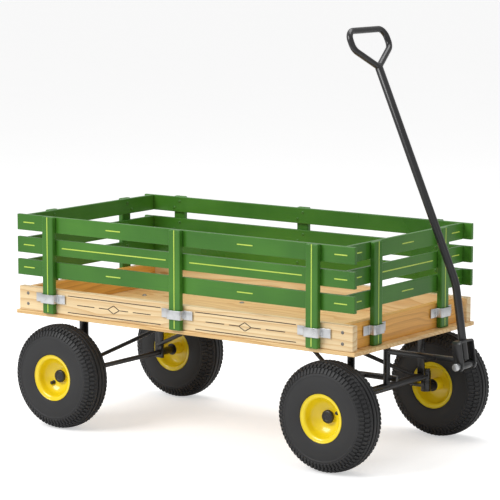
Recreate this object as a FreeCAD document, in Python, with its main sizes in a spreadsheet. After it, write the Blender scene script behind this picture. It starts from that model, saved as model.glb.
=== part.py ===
import FreeCAD, Part
import math
import os
import Sketcher

# Slat-sided wooden wagon with a steel undercarriage, knuckle steering and a pull handle.
# Frame: +X points ahead (towards the handle), +Y to the wagon's left, +Z up, in millimetres.
# The origin is on the ground, under the middle of the whole wagon's outline.

V = FreeCAD.Vector
doc = FreeCAD.newDocument("wagon")

# ---------------------------------------------------------------- driving dimensions

SIZES = {
    # running gear
    "tyre_diameter": 260, "tyre_width": 80, "tyre_wall": 7, "tyre_shoulder": 26,
    "track_inset": 18, "rear_axle_inset": 127, "front_axle_inset": 82, "axle_diameter": 12.7,
    "rim_flange_diameter": 115, "rim_seat_diameter": 100, "rim_width": 74, "rim_gauge": 2.5,
    "hub_diameter": 30, "hub_inboard": 34, "hub_outboard": 3, "bush_diameter": 22,
    "bush_flange": 2, "bush_length": 20, "cap_diameter": 32, "cap_depth": 7, "valve_diameter": 9,
    "valve_length": 16.5, "valve_radius": 30, "running_gap": 0.05,
    # bed
    "floor_length": 1014, "bed_width": 514, "floor_lip": 4, "floor_thickness": 9.5,
    "floor_clearance": 28.5, "plank_count": 5, "plank_gap": 0.5, "side_board_inset": 7.5,
    "end_board_inset": 18.5, "board_height": 60, "board_thickness": 19, "wood_ease": 1.2,
    # slatted racks
    "slat_height": 39.5, "slat_gap": 16.5, "slat_thickness": 9.5, "slat_ease": 1.0,
    "side_slat_inset": 3, "end_slat_side_gap": 1.5, "lowest_slat_lift": 88.5,
    "stake_width": 34, "stake_thickness": 14, "stake_head": 1, "stake_ease": 3,
    "side_stake_inset": 86, "end_stake_inset": 112, "stake_slip": 0.4,
    # strap clips that pocket the stakes
    "clip_wing": 26.2, "clip_height": 22, "clip_gauge": 2, "clip_lift": 26.5, "clip_slip": 0.8,
    "clip_bend": 3.4,
    # axle frames and braces
    "leg_inset": 23, "rear_frame_width": 26, "front_frame_width": 18, "frame_gauge": 5,
    "frame_bend": 11, "rear_leg_drop": 14, "frame_bolt_inset": 61, "rear_brace_run": 273,
    "brace_diameter": 10, "brace_foot": 24, "brace_foot_length": 38, "brace_lift": 20,
    "front_brace_inset": 12, "front_brace_run": 261, "front_brace_meet": 14,
    # front beam and steering
    "beam_diameter": 20, "beam_bore": 15, "beam_lift": 29, "kingpin_inset": 64,
    "kingpin_diameter": 13, "sleeve_diameter": 24, "sleeve_height": 24, "knuckle_height": 26,
    "kingpin_nut_height": 4, "collar_diameter": 20, "tie_arm": 35, "tie_rod_diameter": 10,
    "tie_rod_lift": 13, "tie_eye_height": 12, "arm_gauge": 6, "arm_width": 18,
    "stud_diameter": 8, "open_pivot_gap": 0.5, "post_pin_diameter": 12, "post_diameter": 17,
    "post_seat_height": 4, "post_end_gap": 0.2, "steer_arm": 80, "link_bar": 12,
    "link_bar_lift": 23, "steer_arm_nose": 30, "link_eye_diameter": 20, "link_eye_height": 11,
    # tongue and handle
    "tongue_bar": 12, "tongue_lift": 115, "tongue_reach": 216, "pivot_lift": 107,
    "tongue_tube_diameter": 18, "tongue_tube_length": 49.2, "tongue_saddle": 24,
    "pivot_bolt_diameter": 10, "fork_gauge": 5, "fork_width": 24, "fork_height": 58,
    "fork_bend": 9, "fork_side_gap": 0.4, "bolt_head_diameter": 17, "bolt_head_height": 7,
    "spacer_height": 8, "shaft_diameter": 19, "shaft_foot": 12.5, "shaft_lower": 190.2,
    "shaft_upper": 534.6, "shaft_bend": 150, "shaft_lean": 8.8, "shaft_turn": 15,
    "shaft_clearance": 2.5, "grip_rod": 15, "grip_half_width": 77, "grip_shoulder": 48,
    "grip_height": 93, "grip_bend": 24, "grip_foot_bend": 14,
    # fasteners
    "screw_head": 8, "screw_head_height": 1.8, "screw_shank": 4, "clip_screw_length": 15,
    "rack_screw_length": 20, "board_screw_length": 45, "bolt_shank": 7, "bolt_head_rise": 2.8,
    "nut_height": 6,
}

# how far round, in degrees from straight ahead, each wheel's valve has come to rest
VALVE_TURN = {"front_right": 24, "rear_right": 219, "front_left": 100, "rear_left": 300}

sheet = doc.addObject("Spreadsheet::Sheet", "Sizes")
for row, (alias, value) in enumerate(SIZES.items(), start=1):
    sheet.set(f"A{row}", alias)
    sheet.set(f"B{row}", str(value))
    sheet.setAlias(f"B{row}", alias)
doc.recompute()


class Size:
    """A length or angle held twice: as a formula on the sheet's cells, and as its present number."""

    def __init__(self, text, number):
        self.text = text
        self.number = number

    def __add__(self, other):
        other = size(other)
        return Size(f"({self.text} + {other.text})", self.number + other.number)

    def __sub__(self, other):
        other = size(other)
        return Size(f"({self.text} - {other.text})", self.number - other.number)

    def __mul__(self, other):
        other = size(other)
        return Size(f"({self.text} * {other.text})", self.number * other.number)

    def __truediv__(self, other):
        other = size(other)
        return Size(f"({self.text} / {other.text})", self.number / other.number)

    def __neg__(self):
        return Size(f"(0 - {self.text})", -self.number)

    def __radd__(self, other):
        return size(other) + self

    def __rsub__(self, other):
        return size(other) - self

    def __rmul__(self, other):
        return size(other) * self


def size(value):
    """A Size for a cell's name, a plain number or a Size."""
    if isinstance(value, Size):
        return value
    if isinstance(value, str):
        return Size(f"Sizes.{value}", float(sheet.get(value)))
    return Size(repr(float(value)), float(value))


def trig(kind, angle):
    """Sine, cosine or tangent of an angle in degrees."""
    angle = size(angle)
    number = getattr(math, kind)(math.radians(angle.number))
    return Size(f"{kind}({angle.text} * 1deg)", number)


def root(value):
    return Size(f"sqrt({value.text})", math.sqrt(value.number))


def bind(thing, path, value):
    thing.setExpression(path, size(value).text)


# ---------------------------------------------------------------- places worked out from the sizes

FLOOR_WIDTH = size("bed_width") + size("floor_lip") * 2
BOARD_LENGTH = size("floor_length") - size("side_board_inset") * 2
AXLE_Z = size("tyre_diameter") / 2
REAR_X = size("rear_axle_inset") - size("floor_length") / 2
FRONT_X = size("floor_length") / 2 - "front_axle_inset"
PIVOT_X = FRONT_X + "tongue_reach"
PIVOT_Z = AXLE_Z + "pivot_lift"
BED_X = (AXLE_Z - REAR_X - PIVOT_X - size("fork_width") / 2) / 2
FLOOR_TOP = size("tyre_diameter") + "floor_clearance"
FLOOR_UNDER = FLOOR_TOP - "floor_thickness"
SIDE_FACE = size("bed_width") / 2
END_FACE = BOARD_LENGTH / 2 - "end_board_inset"
HALF_TRACK = SIDE_FACE - "track_inset"
KINGPIN_Y = HALF_TRACK - "kingpin_inset"
LEG_Y = KINGPIN_Y - "leg_inset"
LEG_OUTSIDE = LEG_Y + size("frame_gauge") / 2
LEG_INSIDE = LEG_OUTSIDE - "frame_gauge"
BEAM_Z = AXLE_Z + "beam_lift"
SLEEVE_TOP = BEAM_Z + size("sleeve_height") / 2
SLEEVE_BASE = BEAM_Z - size("sleeve_height") / 2
PLATE_UNDER = FLOOR_UNDER - "frame_gauge"
REAR_BRACE_Y = LEG_INSIDE - size("brace_diameter") / 2
SEAT_TOP = BEAM_Z + size("beam_diameter") / 2 + "post_seat_height"
LINK_BAR_Z = BEAM_Z + "link_bar_lift"
TONGUE_Z = AXLE_Z + "tongue_lift"
SLAT_PITCH = size("slat_height") + "slat_gap"
HUB_STOP = HALF_TRACK - "hub_inboard" - "bush_flange" - size("running_gap") * 4
STAKE_POCKET = size("stake_width") / 2 + "clip_slip"
CLIP_OUTSIDE = STAKE_POCKET + "clip_gauge"
CLIP_HALF = CLIP_OUTSIDE + "clip_wing"

UP = FreeCAD.Rotation(V(0, 0, 1), 0)
FACING = {
    "+x": FreeCAD.Rotation(V(0, 1, 0), 90), "-x": FreeCAD.Rotation(V(0, 1, 0), -90),
    "+y": FreeCAD.Rotation(V(1, 0, 0), -90), "-y": FreeCAD.Rotation(V(1, 0, 0), 90),
    "+z": UP, "-z": FreeCAD.Rotation(V(1, 0, 0), 180),
}
STEP = {"+x": (1, 0, 0), "-x": (-1, 0, 0), "+y": (0, 1, 0), "-y": (0, -1, 0),
        "+z": (0, 0, 1), "-z": (0, 0, -1)}

NODES = []


# ---------------------------------------------------------------- helpers

def place(thing, x, y, z, rotation=UP):
    """Put a piece at a place given from the middle of the bed, on the ground."""
    thing.Placement = FreeCAD.Placement(V(0, 0, 0), rotation)
    bind(thing, "Placement.Base.x", BED_X + x)
    bind(thing, "Placement.Base.y", y)
    bind(thing, "Placement.Base.z", z)
    return thing


def node(thing, name):
    """Give a finished sub-part the name that it is written under."""
    thing.Label = name
    NODES.append(thing)
    return thing


def cylinder(diameter, height, x, y, z, facing="+z"):
    """A round bar that starts at a place and runs the way it faces."""
    piece = doc.addObject("Part::Cylinder", "bar")
    bind(piece, "Radius", size(diameter) / 2)
    bind(piece, "Height", height)
    return place(piece, x, y, z, FACING[facing])


def cone(low, high, height, x, y, z, facing="+z"):
    piece = doc.addObject("Part::Cone", "cone")
    bind(piece, "Radius1", size(low) / 2)
    bind(piece, "Radius2", size(high) / 2)
    bind(piece, "Height", height)
    return place(piece, x, y, z, FACING[facing])


def box(length, width, height, x, y, z):
    """A block centred on x and y, standing on z."""
    piece = doc.addObject("Part::Box", "block")
    bind(piece, "Length", length)
    bind(piece, "Width", width)
    bind(piece, "Height", height)
    return place(piece, x - size(length) / 2, y - size(width) / 2, z)


def hexagon(across_flats, height, x, y, z, facing="+z"):
    """A hexagonal nut or bolt head."""
    piece = doc.addObject("Part::Prism", "hexagon")
    piece.Polygon = 6
    bind(piece, "Circumradius", size(across_flats) / math.sqrt(3))
    bind(piece, "Height", height)
    return place(piece, x, y, z, FACING[facing])


def fuse(*pieces):
    joined = doc.addObject("Part::MultiFuse", "weldment")
    joined.Shapes = list(pieces)
    return joined


def cut(base, *tools):
    for tool in tools:
        rest = doc.addObject("Part::Cut", "cut")
        rest.Base = base
        rest.Tool = tool
        base = rest
    return base


def group(pieces):
    """Several separate solids in one sub-part, such as a set of screws."""
    together = doc.addObject("Part::Compound", "set")
    together.Links = list(pieces)
    return together


def new_body(name):
    return doc.addObject("PartDesign::Body", name)


def plane_of(body, role):
    return next(f for f in body.Origin.OriginFeatures if f.Role == role)


def outline(body, role, points):
    """A closed sketch of straight edges whose every corner is held by two bound dimensions."""
    sketch = body.newObject("Sketcher::SketchObject", "outline")
    sketch.AttachmentSupport = [(plane_of(body, role), "")]
    sketch.MapMode = "FlatFace"
    spots = [(size(a), size(b)) for a, b in points]
    corners = [V(a.number, b.number, 0) for a, b in spots]
    for start, end in zip(corners, corners[1:] + corners[:1]):
        sketch.addGeometry(Part.LineSegment(start, end), False)
    count = len(corners)
    for index, (a, b) in enumerate(spots):
        previous = (index - 1) % count
        sketch.addConstraint(Sketcher.Constraint("Coincident", previous, 2, index, 1))
        for kind, value in (("DistanceX", a), ("DistanceY", b)):
            held = Sketcher.Constraint(kind, -1, 1, index, 1, value.number)
            number = sketch.addConstraint(held)
            sketch.setExpression(f"Constraints[{number}]", value.text)
    return sketch


def pad(body, sketch, length):
    """Thicken a sketch evenly to both sides of its plane."""
    feature = body.newObject("PartDesign::Pad", "pad")
    feature.Profile = sketch
    feature.SideType = "Symmetric"
    bind(feature, "Length", length)
    return feature


def ease_edges(body, feature, radius):
    """Round every edge of a sawn piece."""
    doc.recompute()
    names = [f"Edge{i + 1}" for i in range(len(feature.Shape.Edges))]
    rounded = body.newObject("PartDesign::Fillet", "ease")
    rounded.Base = (feature, names)
    bind(rounded, "Radius", radius)
    return rounded


def round_corners(body, feature, picks, radius):
    """Round the edges whose middles a test picks out."""
    doc.recompute()
    names = []
    for index, edge in enumerate(feature.Shape.Edges):
        if picks(edge):
            names.append(f"Edge{index + 1}")
    rounded = body.newObject("PartDesign::Fillet", "bend")
    rounded.Base = (feature, names)
    bind(rounded, "Radius", radius)
    return rounded


def near(value, wanted):
    return abs(value - size(wanted).number) < 0.01


def wood(length, width, height, x, y, z, ease):
    """A sawn bar with eased edges, centred on x and y, standing on z."""
    body = new_body("wood")
    a = size(length) / 2
    b = size(width) / 2
    sketch = outline(body, "XY_Plane", [(-a, -b), (a, -b), (a, b), (-a, b)])
    block = pad(body, sketch, height)
    ease_edges(body, block, ease)
    return place(body, x, y, size(z) + size(height) / 2)


def turned(points):
    """A piece turned about the Y axis from its half section: (along the axis, radius) pairs."""
    body = new_body("turned")
    sketch = outline(body, "YZ_Plane", points)
    feature = body.newObject("PartDesign::Revolution", "turn")
    feature.Profile = sketch
    feature.ReferenceAxis = (sketch, ["H_Axis"])
    feature.Angle = 360
    return body, feature


def screw(x, y, z, facing, length):
    """A pan-head screw: head proud of a face, shank sunk the other way."""
    head = cone("screw_head", size("screw_head") * 0.6, "screw_head_height", x, y, z, facing)
    step = [size(length) * -part for part in STEP[facing]]
    shank = cylinder("screw_shank", length, x + step[0], y + step[1], z + step[2], facing)
    return fuse(head, shank)


# ---------------------------------------------------------------- the wooden bed

def make_bed():
    plank_width = (FLOOR_WIDTH + "plank_gap") / "plank_count" - "plank_gap"
    planks = []
    for index in range(int(sheet.get("plank_count"))):
        y = (plank_width + "plank_gap") * index + plank_width / 2 - FLOOR_WIDTH / 2
        planks.append(wood("floor_length", plank_width, "floor_thickness", size(0), y,
                           FLOOR_UNDER, "wood_ease"))
    node(group(planks), "floor_planks")
    for name, side in (("side_board_left", 1), ("side_board_right", -1)):
        y = (SIDE_FACE - size("board_thickness") / 2) * side
        board = wood(BOARD_LENGTH, "board_thickness", "board_height", size(0), y, FLOOR_TOP,
                     "wood_ease")
        node(board, name)
    end_width = size("bed_width") - size("board_thickness") * 2
    for name, side in (("front_board", 1), ("rear_board", -1)):
        x = (END_FACE - size("board_thickness") / 2) * side
        board = wood("board_thickness", end_width, "board_height", x, size(0), FLOOR_TOP,
                     "wood_ease")
        node(board, name)
    screws = []
    for side in (1, -1):
        facing = "+y" if side > 0 else "-y"
        for end in (1, -1):
            x = (END_FACE - size("board_thickness") / 2) * end
            for share in (0.28, 0.72):
                z = FLOOR_TOP + size("board_height") * share
                screws.append(screw(x, SIDE_FACE * side, z, facing, "board_screw_length"))
    node(group(screws), "board_screws")


# ---------------------------------------------------------------- strap clips

def clip_profile():
    """Hat section of a strap clip, seen from above, opening towards the board."""
    depth = size("stake_slip") + "stake_thickness" + "clip_slip"
    gauge = size("clip_gauge")
    return [(-CLIP_HALF, 0), (-STAKE_POCKET, 0), (-STAKE_POCKET, depth), (STAKE_POCKET, depth),
            (STAKE_POCKET, 0), (CLIP_HALF, 0), (CLIP_HALF, gauge), (CLIP_OUTSIDE, gauge),
            (CLIP_OUTSIDE, depth + gauge), (-CLIP_OUTSIDE, depth + gauge),
            (-CLIP_OUTSIDE, gauge), (-CLIP_HALF, gauge)]


def stake_places():
    """Each stake's foot: which rack, place of the board face behind it, and outward direction."""
    spots = []
    for rack, side in (("left", 1), ("right", -1)):
        for index in (-1, 0, 1):
            spots.append((rack, (END_FACE - "side_stake_inset") * index, SIDE_FACE * side,
                          "+y" if side > 0 else "-y"))
    for rack, side in (("front", 1), ("rear", -1)):
        for index in (-1, 1):
            spots.append((rack, END_FACE * side, (SIDE_FACE - "end_stake_inset") * index,
                          "+x" if side > 0 else "-x"))
    return spots


TURN = {"+y": 0, "-y": 180, "+x": -90, "-x": 90}


def make_clips():
    z = FLOOR_TOP + "clip_lift" + size("clip_height") / 2
    screw_out = (CLIP_HALF + CLIP_OUTSIDE) / 2
    cheek = size("stake_slip") + "stake_thickness" + "clip_slip"
    clips = []
    screws = []

    def is_outer_bend(edge):
        middle = edge.CenterOfMass
        return near(abs(middle.x), CLIP_OUTSIDE) and near(middle.y, cheek + "clip_gauge")

    def is_inner_bend(edge):
        middle = edge.CenterOfMass
        return near(abs(middle.x), STAKE_POCKET) and near(middle.y, cheek)

    for _, x, y, facing in stake_places():
        body = new_body("clip")
        strap = outline(body, "XY_Plane", clip_profile())
        bent = pad(body, strap, "clip_height")
        bent = round_corners(body, bent, is_outer_bend, "clip_bend")
        round_corners(body, bent, is_inner_bend, size("clip_bend") - "clip_gauge")
        clips.append(place(body, x, y, z, FreeCAD.Rotation(V(0, 0, 1), TURN[facing])))
        out = STEP[facing]
        for hand in (1, -1):
            sx = x + size("clip_gauge") * out[0] + screw_out * (out[1] * hand)
            sy = y + size("clip_gauge") * out[1] + screw_out * (out[0] * hand)
            screws.append(screw(sx, sy, z, facing, "clip_screw_length"))
    node(group(clips), "stake_clips")
    node(group(screws), "clip_screws")


# ---------------------------------------------------------------- slatted racks

def make_racks():
    lowest = FLOOR_TOP + "lowest_slat_lift"
    top = lowest + SLAT_PITCH * 2 + "slat_height" + "stake_head"
    stake_height = top - FLOOR_TOP
    stakes = {}
    screws = {}
    for rack, x, y, facing in stake_places():
        out = STEP[facing]
        away = size("stake_slip") + size("stake_thickness") / 2
        along = "stake_width" if out[0] == 0 else "stake_thickness"
        across = "stake_thickness" if out[0] == 0 else "stake_width"
        stakes.setdefault(rack, []).append(
            wood(along, across, stake_height, x + away * out[0], y + away * out[1],
                 FLOOR_TOP, "stake_ease"))
        inside = "-" + facing[1] if facing[0] == "+" else "+" + facing[1]
        back = size("stake_slip") - "slat_thickness"
        spread = size("stake_width") / 4
        for level in range(3):
            for hand in (1, -1):
                sx = x + back * out[0] + spread * (out[1] * hand)
                sy = y + back * out[1] + spread * (out[0] * hand)
                sz = lowest + SLAT_PITCH * level + size("slat_height") * (0.5 + 0.22 * hand)
                screws.setdefault(rack, []).append(screw(sx, sy, sz, inside, "rack_screw_length"))
    slat_out = size("stake_slip") - size("slat_thickness") / 2
    side_length = size("floor_length") - size("side_slat_inset") * 2
    end_length = (SIDE_FACE + "stake_slip" - "slat_thickness" - "end_slat_side_gap") * 2
    for rack, out in (("left", (0, 1)), ("right", (0, -1)), ("front", (1, 0)), ("rear", (-1, 0))):
        x = (END_FACE + slat_out) * out[0]
        y = (SIDE_FACE + slat_out) * out[1]
        along = side_length if out[0] == 0 else "slat_thickness"
        across = "slat_thickness" if out[0] == 0 else end_length
        slats = [wood(along, across, "slat_height", x, y, lowest + SLAT_PITCH * level, "slat_ease")
                 for level in range(3)]
        node(group(slats), f"{rack}_rack_slats")
        node(group(stakes[rack]), f"{rack}_rack_stakes")
        node(group(screws[rack]), f"{rack}_rack_screws")


# ---------------------------------------------------------------- axle frames and braces

def frame_body(foot, width):
    """A flat bar bent into an upside-down U, its plate against the floor and a leg each side."""
    body = new_body("bent bar")
    sketch = outline(body, "YZ_Plane", [
        (-LEG_OUTSIDE, foot), (-LEG_INSIDE, foot), (-LEG_INSIDE, PLATE_UNDER),
        (LEG_INSIDE, PLATE_UNDER), (LEG_INSIDE, foot), (LEG_OUTSIDE, foot),
        (LEG_OUTSIDE, FLOOR_UNDER), (-LEG_OUTSIDE, FLOOR_UNDER)])
    bar = pad(body, sketch, width)

    def is_outer_bend(edge):
        middle = edge.CenterOfMass
        return near(abs(middle.y), LEG_OUTSIDE) and near(middle.z, FLOOR_UNDER)

    def is_inner_bend(edge):
        middle = edge.CenterOfMass
        return near(abs(middle.y), LEG_INSIDE) and near(middle.z, PLATE_UNDER)

    bar = round_corners(body, bar, is_outer_bend, "frame_bend")
    round_corners(body, bar, is_inner_bend, size("frame_bend") - "frame_gauge")
    return body


def brace(low, high):
    """A round brace between two points, with a square foot bolted under the floor at its top."""
    run = [b - a for a, b in zip(low, high)]
    length = root(run[0] * run[0] + run[1] * run[1] + run[2] * run[2])
    rod = doc.addObject("Part::Cylinder", "brace")
    bind(rod, "Radius", size("brace_diameter") / 2)
    bind(rod, "Height", length + size("brace_diameter"))
    aim = FreeCAD.Rotation(V(0, 0, 1), V(*[part.number for part in run]))
    place(rod, low[0], low[1], low[2], aim)
    above = box("floor_length", FLOOR_WIDTH, "floor_length", size(0), size(0), FLOOR_UNDER)
    foot = box("brace_foot_length", "brace_foot", "frame_gauge", high[0], high[1], PLATE_UNDER)
    return fuse(cut(rod, above), foot)


def make_rear_gear():
    body = frame_body(AXLE_Z - "rear_leg_drop", "rear_frame_width")
    place(body, REAR_X, size(0), size(0))
    reach = LEG_OUTSIDE * 2
    hole = cylinder("axle_diameter", reach, REAR_X, -LEG_OUTSIDE, AXLE_Z, "+y")
    node(cut(body, hole), "rear_frame")
    half = HALF_TRACK + "hub_outboard" + "bush_flange" + size("cap_depth") / 2
    rod = cylinder("axle_diameter", half * 2, REAR_X, -half, AXLE_Z, "+y")
    spacers = [cylinder("collar_diameter", HUB_STOP - LEG_OUTSIDE, REAR_X, LEG_OUTSIDE * side,
                        AXLE_Z, "+y" if side > 0 else "-y") for side in (1, -1)]
    node(fuse(rod, *spacers), "rear_axle")
    for name, side in (("rear_brace_left", 1), ("rear_brace_right", -1)):
        y = REAR_BRACE_Y * side
        low = (REAR_X, y, AXLE_Z + "brace_lift")
        high = (REAR_X + "rear_brace_run", y, FLOOR_UNDER)
        node(brace(low, high), name)


def make_front_gear():
    reach = (KINGPIN_Y - size("sleeve_diameter") / 2) * 2
    tube = cut(cylinder("beam_diameter", reach, FRONT_X, -reach / 2, BEAM_Z, "+y"),
               cylinder("beam_bore", reach, FRONT_X, -reach / 2, BEAM_Z, "+y"))
    seat = cylinder("post_diameter", SEAT_TOP - BEAM_Z, FRONT_X, size(0), BEAM_Z)
    sleeves = [cylinder("sleeve_diameter", "sleeve_height", FRONT_X, KINGPIN_Y * side, SLEEVE_BASE)
               for side in (1, -1)]
    collars = [cylinder("beam_diameter", size("sleeve_diameter") / 2, FRONT_X,
                        (KINGPIN_Y - size("sleeve_diameter") / 2) * side, BEAM_Z,
                        "+y" if side > 0 else "-y") for side in (1, -1)]
    bores = [cylinder(size("kingpin_diameter") + size("running_gap") * 2, "sleeve_height", FRONT_X,
                      KINGPIN_Y * side, SLEEVE_BASE) for side in (1, -1)]
    pin_bore = cylinder("post_pin_diameter", SEAT_TOP - BEAM_Z, FRONT_X, size(0), BEAM_Z)
    beam = cut(fuse(tube, seat, *sleeves, *collars), *bores, pin_bore)
    node(beam, "axle_beam")

    frame = frame_body(BEAM_Z, "front_frame_width")
    place(frame, FRONT_X, size(0), size(0))
    notch = cylinder("beam_diameter", LEG_OUTSIDE * 2, FRONT_X, -LEG_OUTSIDE, BEAM_Z, "+y")
    pin_hole = cylinder("post_pin_diameter", "frame_gauge", FRONT_X, size(0), PLATE_UNDER)
    node(cut(frame, notch, pin_hole), "front_frame")
    pin = cylinder("post_pin_diameter", FLOOR_UNDER - BEAM_Z, FRONT_X, size(0), BEAM_Z)
    node(pin, "post_pin")

    for name, side in (("front_brace_left", 1), ("front_brace_right", -1)):
        low = (FRONT_X, (LEG_Y - "front_brace_inset") * side, BEAM_Z)
        high = (FRONT_X - "front_brace_run", size("front_brace_meet") * side, FLOOR_UNDER)
        inside = cylinder("beam_diameter", FLOOR_WIDTH, FRONT_X, -(FLOOR_WIDTH / 2), BEAM_Z, "+y")
        node(cut(brace(low, high), inside), name)


def make_frame_bolts():
    """Round-headed bolts down through the floor into the frame plates and brace feet."""
    spots = [(REAR_X, (LEG_Y - "frame_bolt_inset") * side) for side in (1, -1)]
    spots += [(FRONT_X, (LEG_Y - "frame_bolt_inset") * side) for side in (1, -1)]
    spots += [(REAR_X + "rear_brace_run", REAR_BRACE_Y * side) for side in (1, -1)]
    spots += [(FRONT_X - "front_brace_run", size("front_brace_meet") * side) for side in (1, -1)]
    bolts = []
    for x, y in spots:
        head = cone(size("bolt_shank") * 2, "bolt_shank", "bolt_head_rise", x, y, FLOOR_TOP)
        base = PLATE_UNDER - "nut_height"
        shank = cylinder("bolt_shank", FLOOR_TOP - base, x, y, base)
        nut = hexagon(size("bolt_shank") * 1.6, "nut_height", x, y, base)
        bolts.append(fuse(head, shank, nut))
    node(group(bolts), "frame_bolts")


# ---------------------------------------------------------------- steering

def make_steering():
    post_bore = size("post_pin_diameter") + size("running_gap") * 2
    post_base = SEAT_TOP + "post_end_gap"
    post_height = PLATE_UNDER - "post_end_gap" - post_base
    bar = size("link_bar")
    length = size("steer_arm") + "steer_arm_nose" + bar / 2
    middle = FRONT_X + (size("steer_arm_nose") - "steer_arm" - bar / 2) / 2
    arm = box(length, bar, bar, middle, size(0), LINK_BAR_Z - bar / 2)
    stud_x = FRONT_X - "steer_arm"
    eye_top = LINK_BAR_Z - bar / 2 - "post_end_gap"
    stud_base = eye_top - "link_eye_height" - size("nut_height") / 2
    stud = fuse(cylinder("stud_diameter", LINK_BAR_Z - stud_base, stud_x, size(0), stud_base),
                hexagon(size("stud_diameter") * 1.6, size("nut_height") / 2 - "post_end_gap",
                        stud_x, size(0), stud_base))
    tube = cylinder("post_diameter", post_height, FRONT_X, size(0), post_base)
    hole = cylinder(post_bore, post_height, FRONT_X, size(0), post_base)
    node(cut(fuse(tube, arm, stud), hole), "steering_post")

    # the bar stops short of the handle's shaft, and a saddle under it carries on to the cross tube
    tongue = size("tongue_bar")
    half = size("tongue_tube_length") / 2
    bar_end = PIVOT_X - size("shaft_diameter") / 2 - "shaft_clearance" - trig(
        "sin", "shaft_lean") * (TONGUE_Z + tongue / 2 - PIVOT_Z)
    run = box(bar_end - FRONT_X, tongue, tongue, (bar_end + FRONT_X) / 2, size(0),
              TONGUE_Z - tongue / 2)
    cross = cylinder("tongue_tube_diameter", half * 2, PIVOT_X, -half, PIVOT_Z, "+y")
    saddle_base = PIVOT_Z - size("tongue_tube_diameter") / 4
    saddle_top = PIVOT_Z + size("shaft_foot") - size("shaft_clearance") * 2
    saddle = box("tongue_saddle", tongue, saddle_top - saddle_base,
                 PIVOT_X - size("tongue_saddle") / 2, size(0), saddle_base)
    bore = cylinder("pivot_bolt_diameter", half * 2, PIVOT_X, -half, PIVOT_Z, "+y")
    round_post = cylinder("post_diameter", tongue * 3, FRONT_X, size(0), TONGUE_Z - tongue * 1.5)
    node(cut(fuse(run, cross, saddle), bore, round_post), "tongue")

    # lever keyed on the right kingpin, driven by the drag link
    lever_z = LINK_BAR_Z - size("arm_gauge") / 2
    lever_under = SLEEVE_TOP + "post_end_gap"
    hub = cylinder("sleeve_diameter", lever_z + "arm_gauge" - lever_under, FRONT_X, -KINGPIN_Y,
                   lever_under)
    run = box("steer_arm", "arm_width", "arm_gauge", FRONT_X - size("steer_arm") / 2, -KINGPIN_Y,
              lever_z)
    tip = cylinder("arm_width", "arm_gauge", stud_x, -KINGPIN_Y, lever_z)
    spigot = cylinder("stud_diameter", lever_z - stud_base, stud_x, -KINGPIN_Y, stud_base)
    collar = cylinder(size("stud_diameter") * 1.6, lever_z - eye_top, stud_x, -KINGPIN_Y, eye_top)
    key = cylinder("kingpin_diameter", "sleeve_height", FRONT_X, -KINGPIN_Y, lever_under)
    node(cut(fuse(hub, run, tip, spigot, collar), key), "steering_lever")

    # drag link from the post's arm to the lever
    eye_base = eye_top - "link_eye_height" + "post_end_gap"
    eye_height = eye_top - "post_end_gap" - eye_base
    rings = [cylinder("link_eye_diameter", eye_height, stud_x, KINGPIN_Y * side, eye_base)
             for side in (0, -1)]
    rod = cylinder("tie_rod_diameter", KINGPIN_Y, stud_x, -KINGPIN_Y, eye_base + eye_height / 2,
                   "+y")
    close = size("stud_diameter") + size("running_gap") * 2
    loose = size("stud_diameter") + size("open_pivot_gap") * 2
    holes = [cylinder(close, eye_height, stud_x, size(0), eye_base),
             cylinder(loose, eye_height, stud_x, -KINGPIN_Y, eye_base)]
    node(cut(fuse(*rings, rod), *holes), "drag_link")

    # tie rod from knuckle to knuckle
    rod_z = AXLE_Z + "tie_rod_lift"
    rod_x = FRONT_X - "tie_arm"
    ring_height = size("tie_eye_height")
    ring_base = rod_z - ring_height / 2
    rings = [cylinder("arm_width", ring_height, rod_x, KINGPIN_Y * side, ring_base)
             for side in (1, -1)]
    rod = cylinder("tie_rod_diameter", KINGPIN_Y * 2, rod_x, -KINGPIN_Y, rod_z, "+y")
    holes = [cylinder(close, ring_height, rod_x, -KINGPIN_Y, ring_base),
             cylinder(loose, ring_height, rod_x, KINGPIN_Y, ring_base)]
    node(cut(fuse(*rings, rod), *holes), "tie_rod")


def make_knuckle(side):
    """Kingpin, block, stub axle and tie-rod arm of one front wheel, welded into one piece."""
    y = KINGPIN_Y * side
    out = "+y" if side > 0 else "-y"
    block_top = SLEEVE_BASE - "post_end_gap"
    pin_top = SLEEVE_TOP + "post_end_gap" + "kingpin_nut_height"
    if side < 0:
        pin_top = LINK_BAR_Z + size("arm_gauge") / 2 + "kingpin_nut_height"
    block = cylinder("sleeve_diameter", "knuckle_height", FRONT_X, y, block_top - "knuckle_height")
    pin = cylinder("kingpin_diameter", pin_top - block_top, FRONT_X, y, block_top)
    tip = HALF_TRACK + "hub_outboard" + "bush_flange" + size("cap_depth") / 2
    stub = cylinder("axle_diameter", tip - KINGPIN_Y, FRONT_X, y, AXLE_Z, out)
    collar = cylinder("collar_diameter", HUB_STOP - KINGPIN_Y, FRONT_X, y, AXLE_Z, out)
    rod_z = AXLE_Z + "tie_rod_lift"
    arm_z = rod_z - size("tie_eye_height") / 2 - "post_end_gap" - "arm_gauge"
    arm = box("tie_arm", "arm_width", "arm_gauge", FRONT_X - size("tie_arm") / 2, y, arm_z)
    tip_x = FRONT_X - "tie_arm"
    end = cylinder("arm_width", "arm_gauge", tip_x, y, arm_z)
    stud = cylinder("stud_diameter", rod_z + "tie_eye_height" - arm_z, tip_x, y, arm_z)
    return fuse(block, pin, stub, collar, arm, end, stud)


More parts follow.
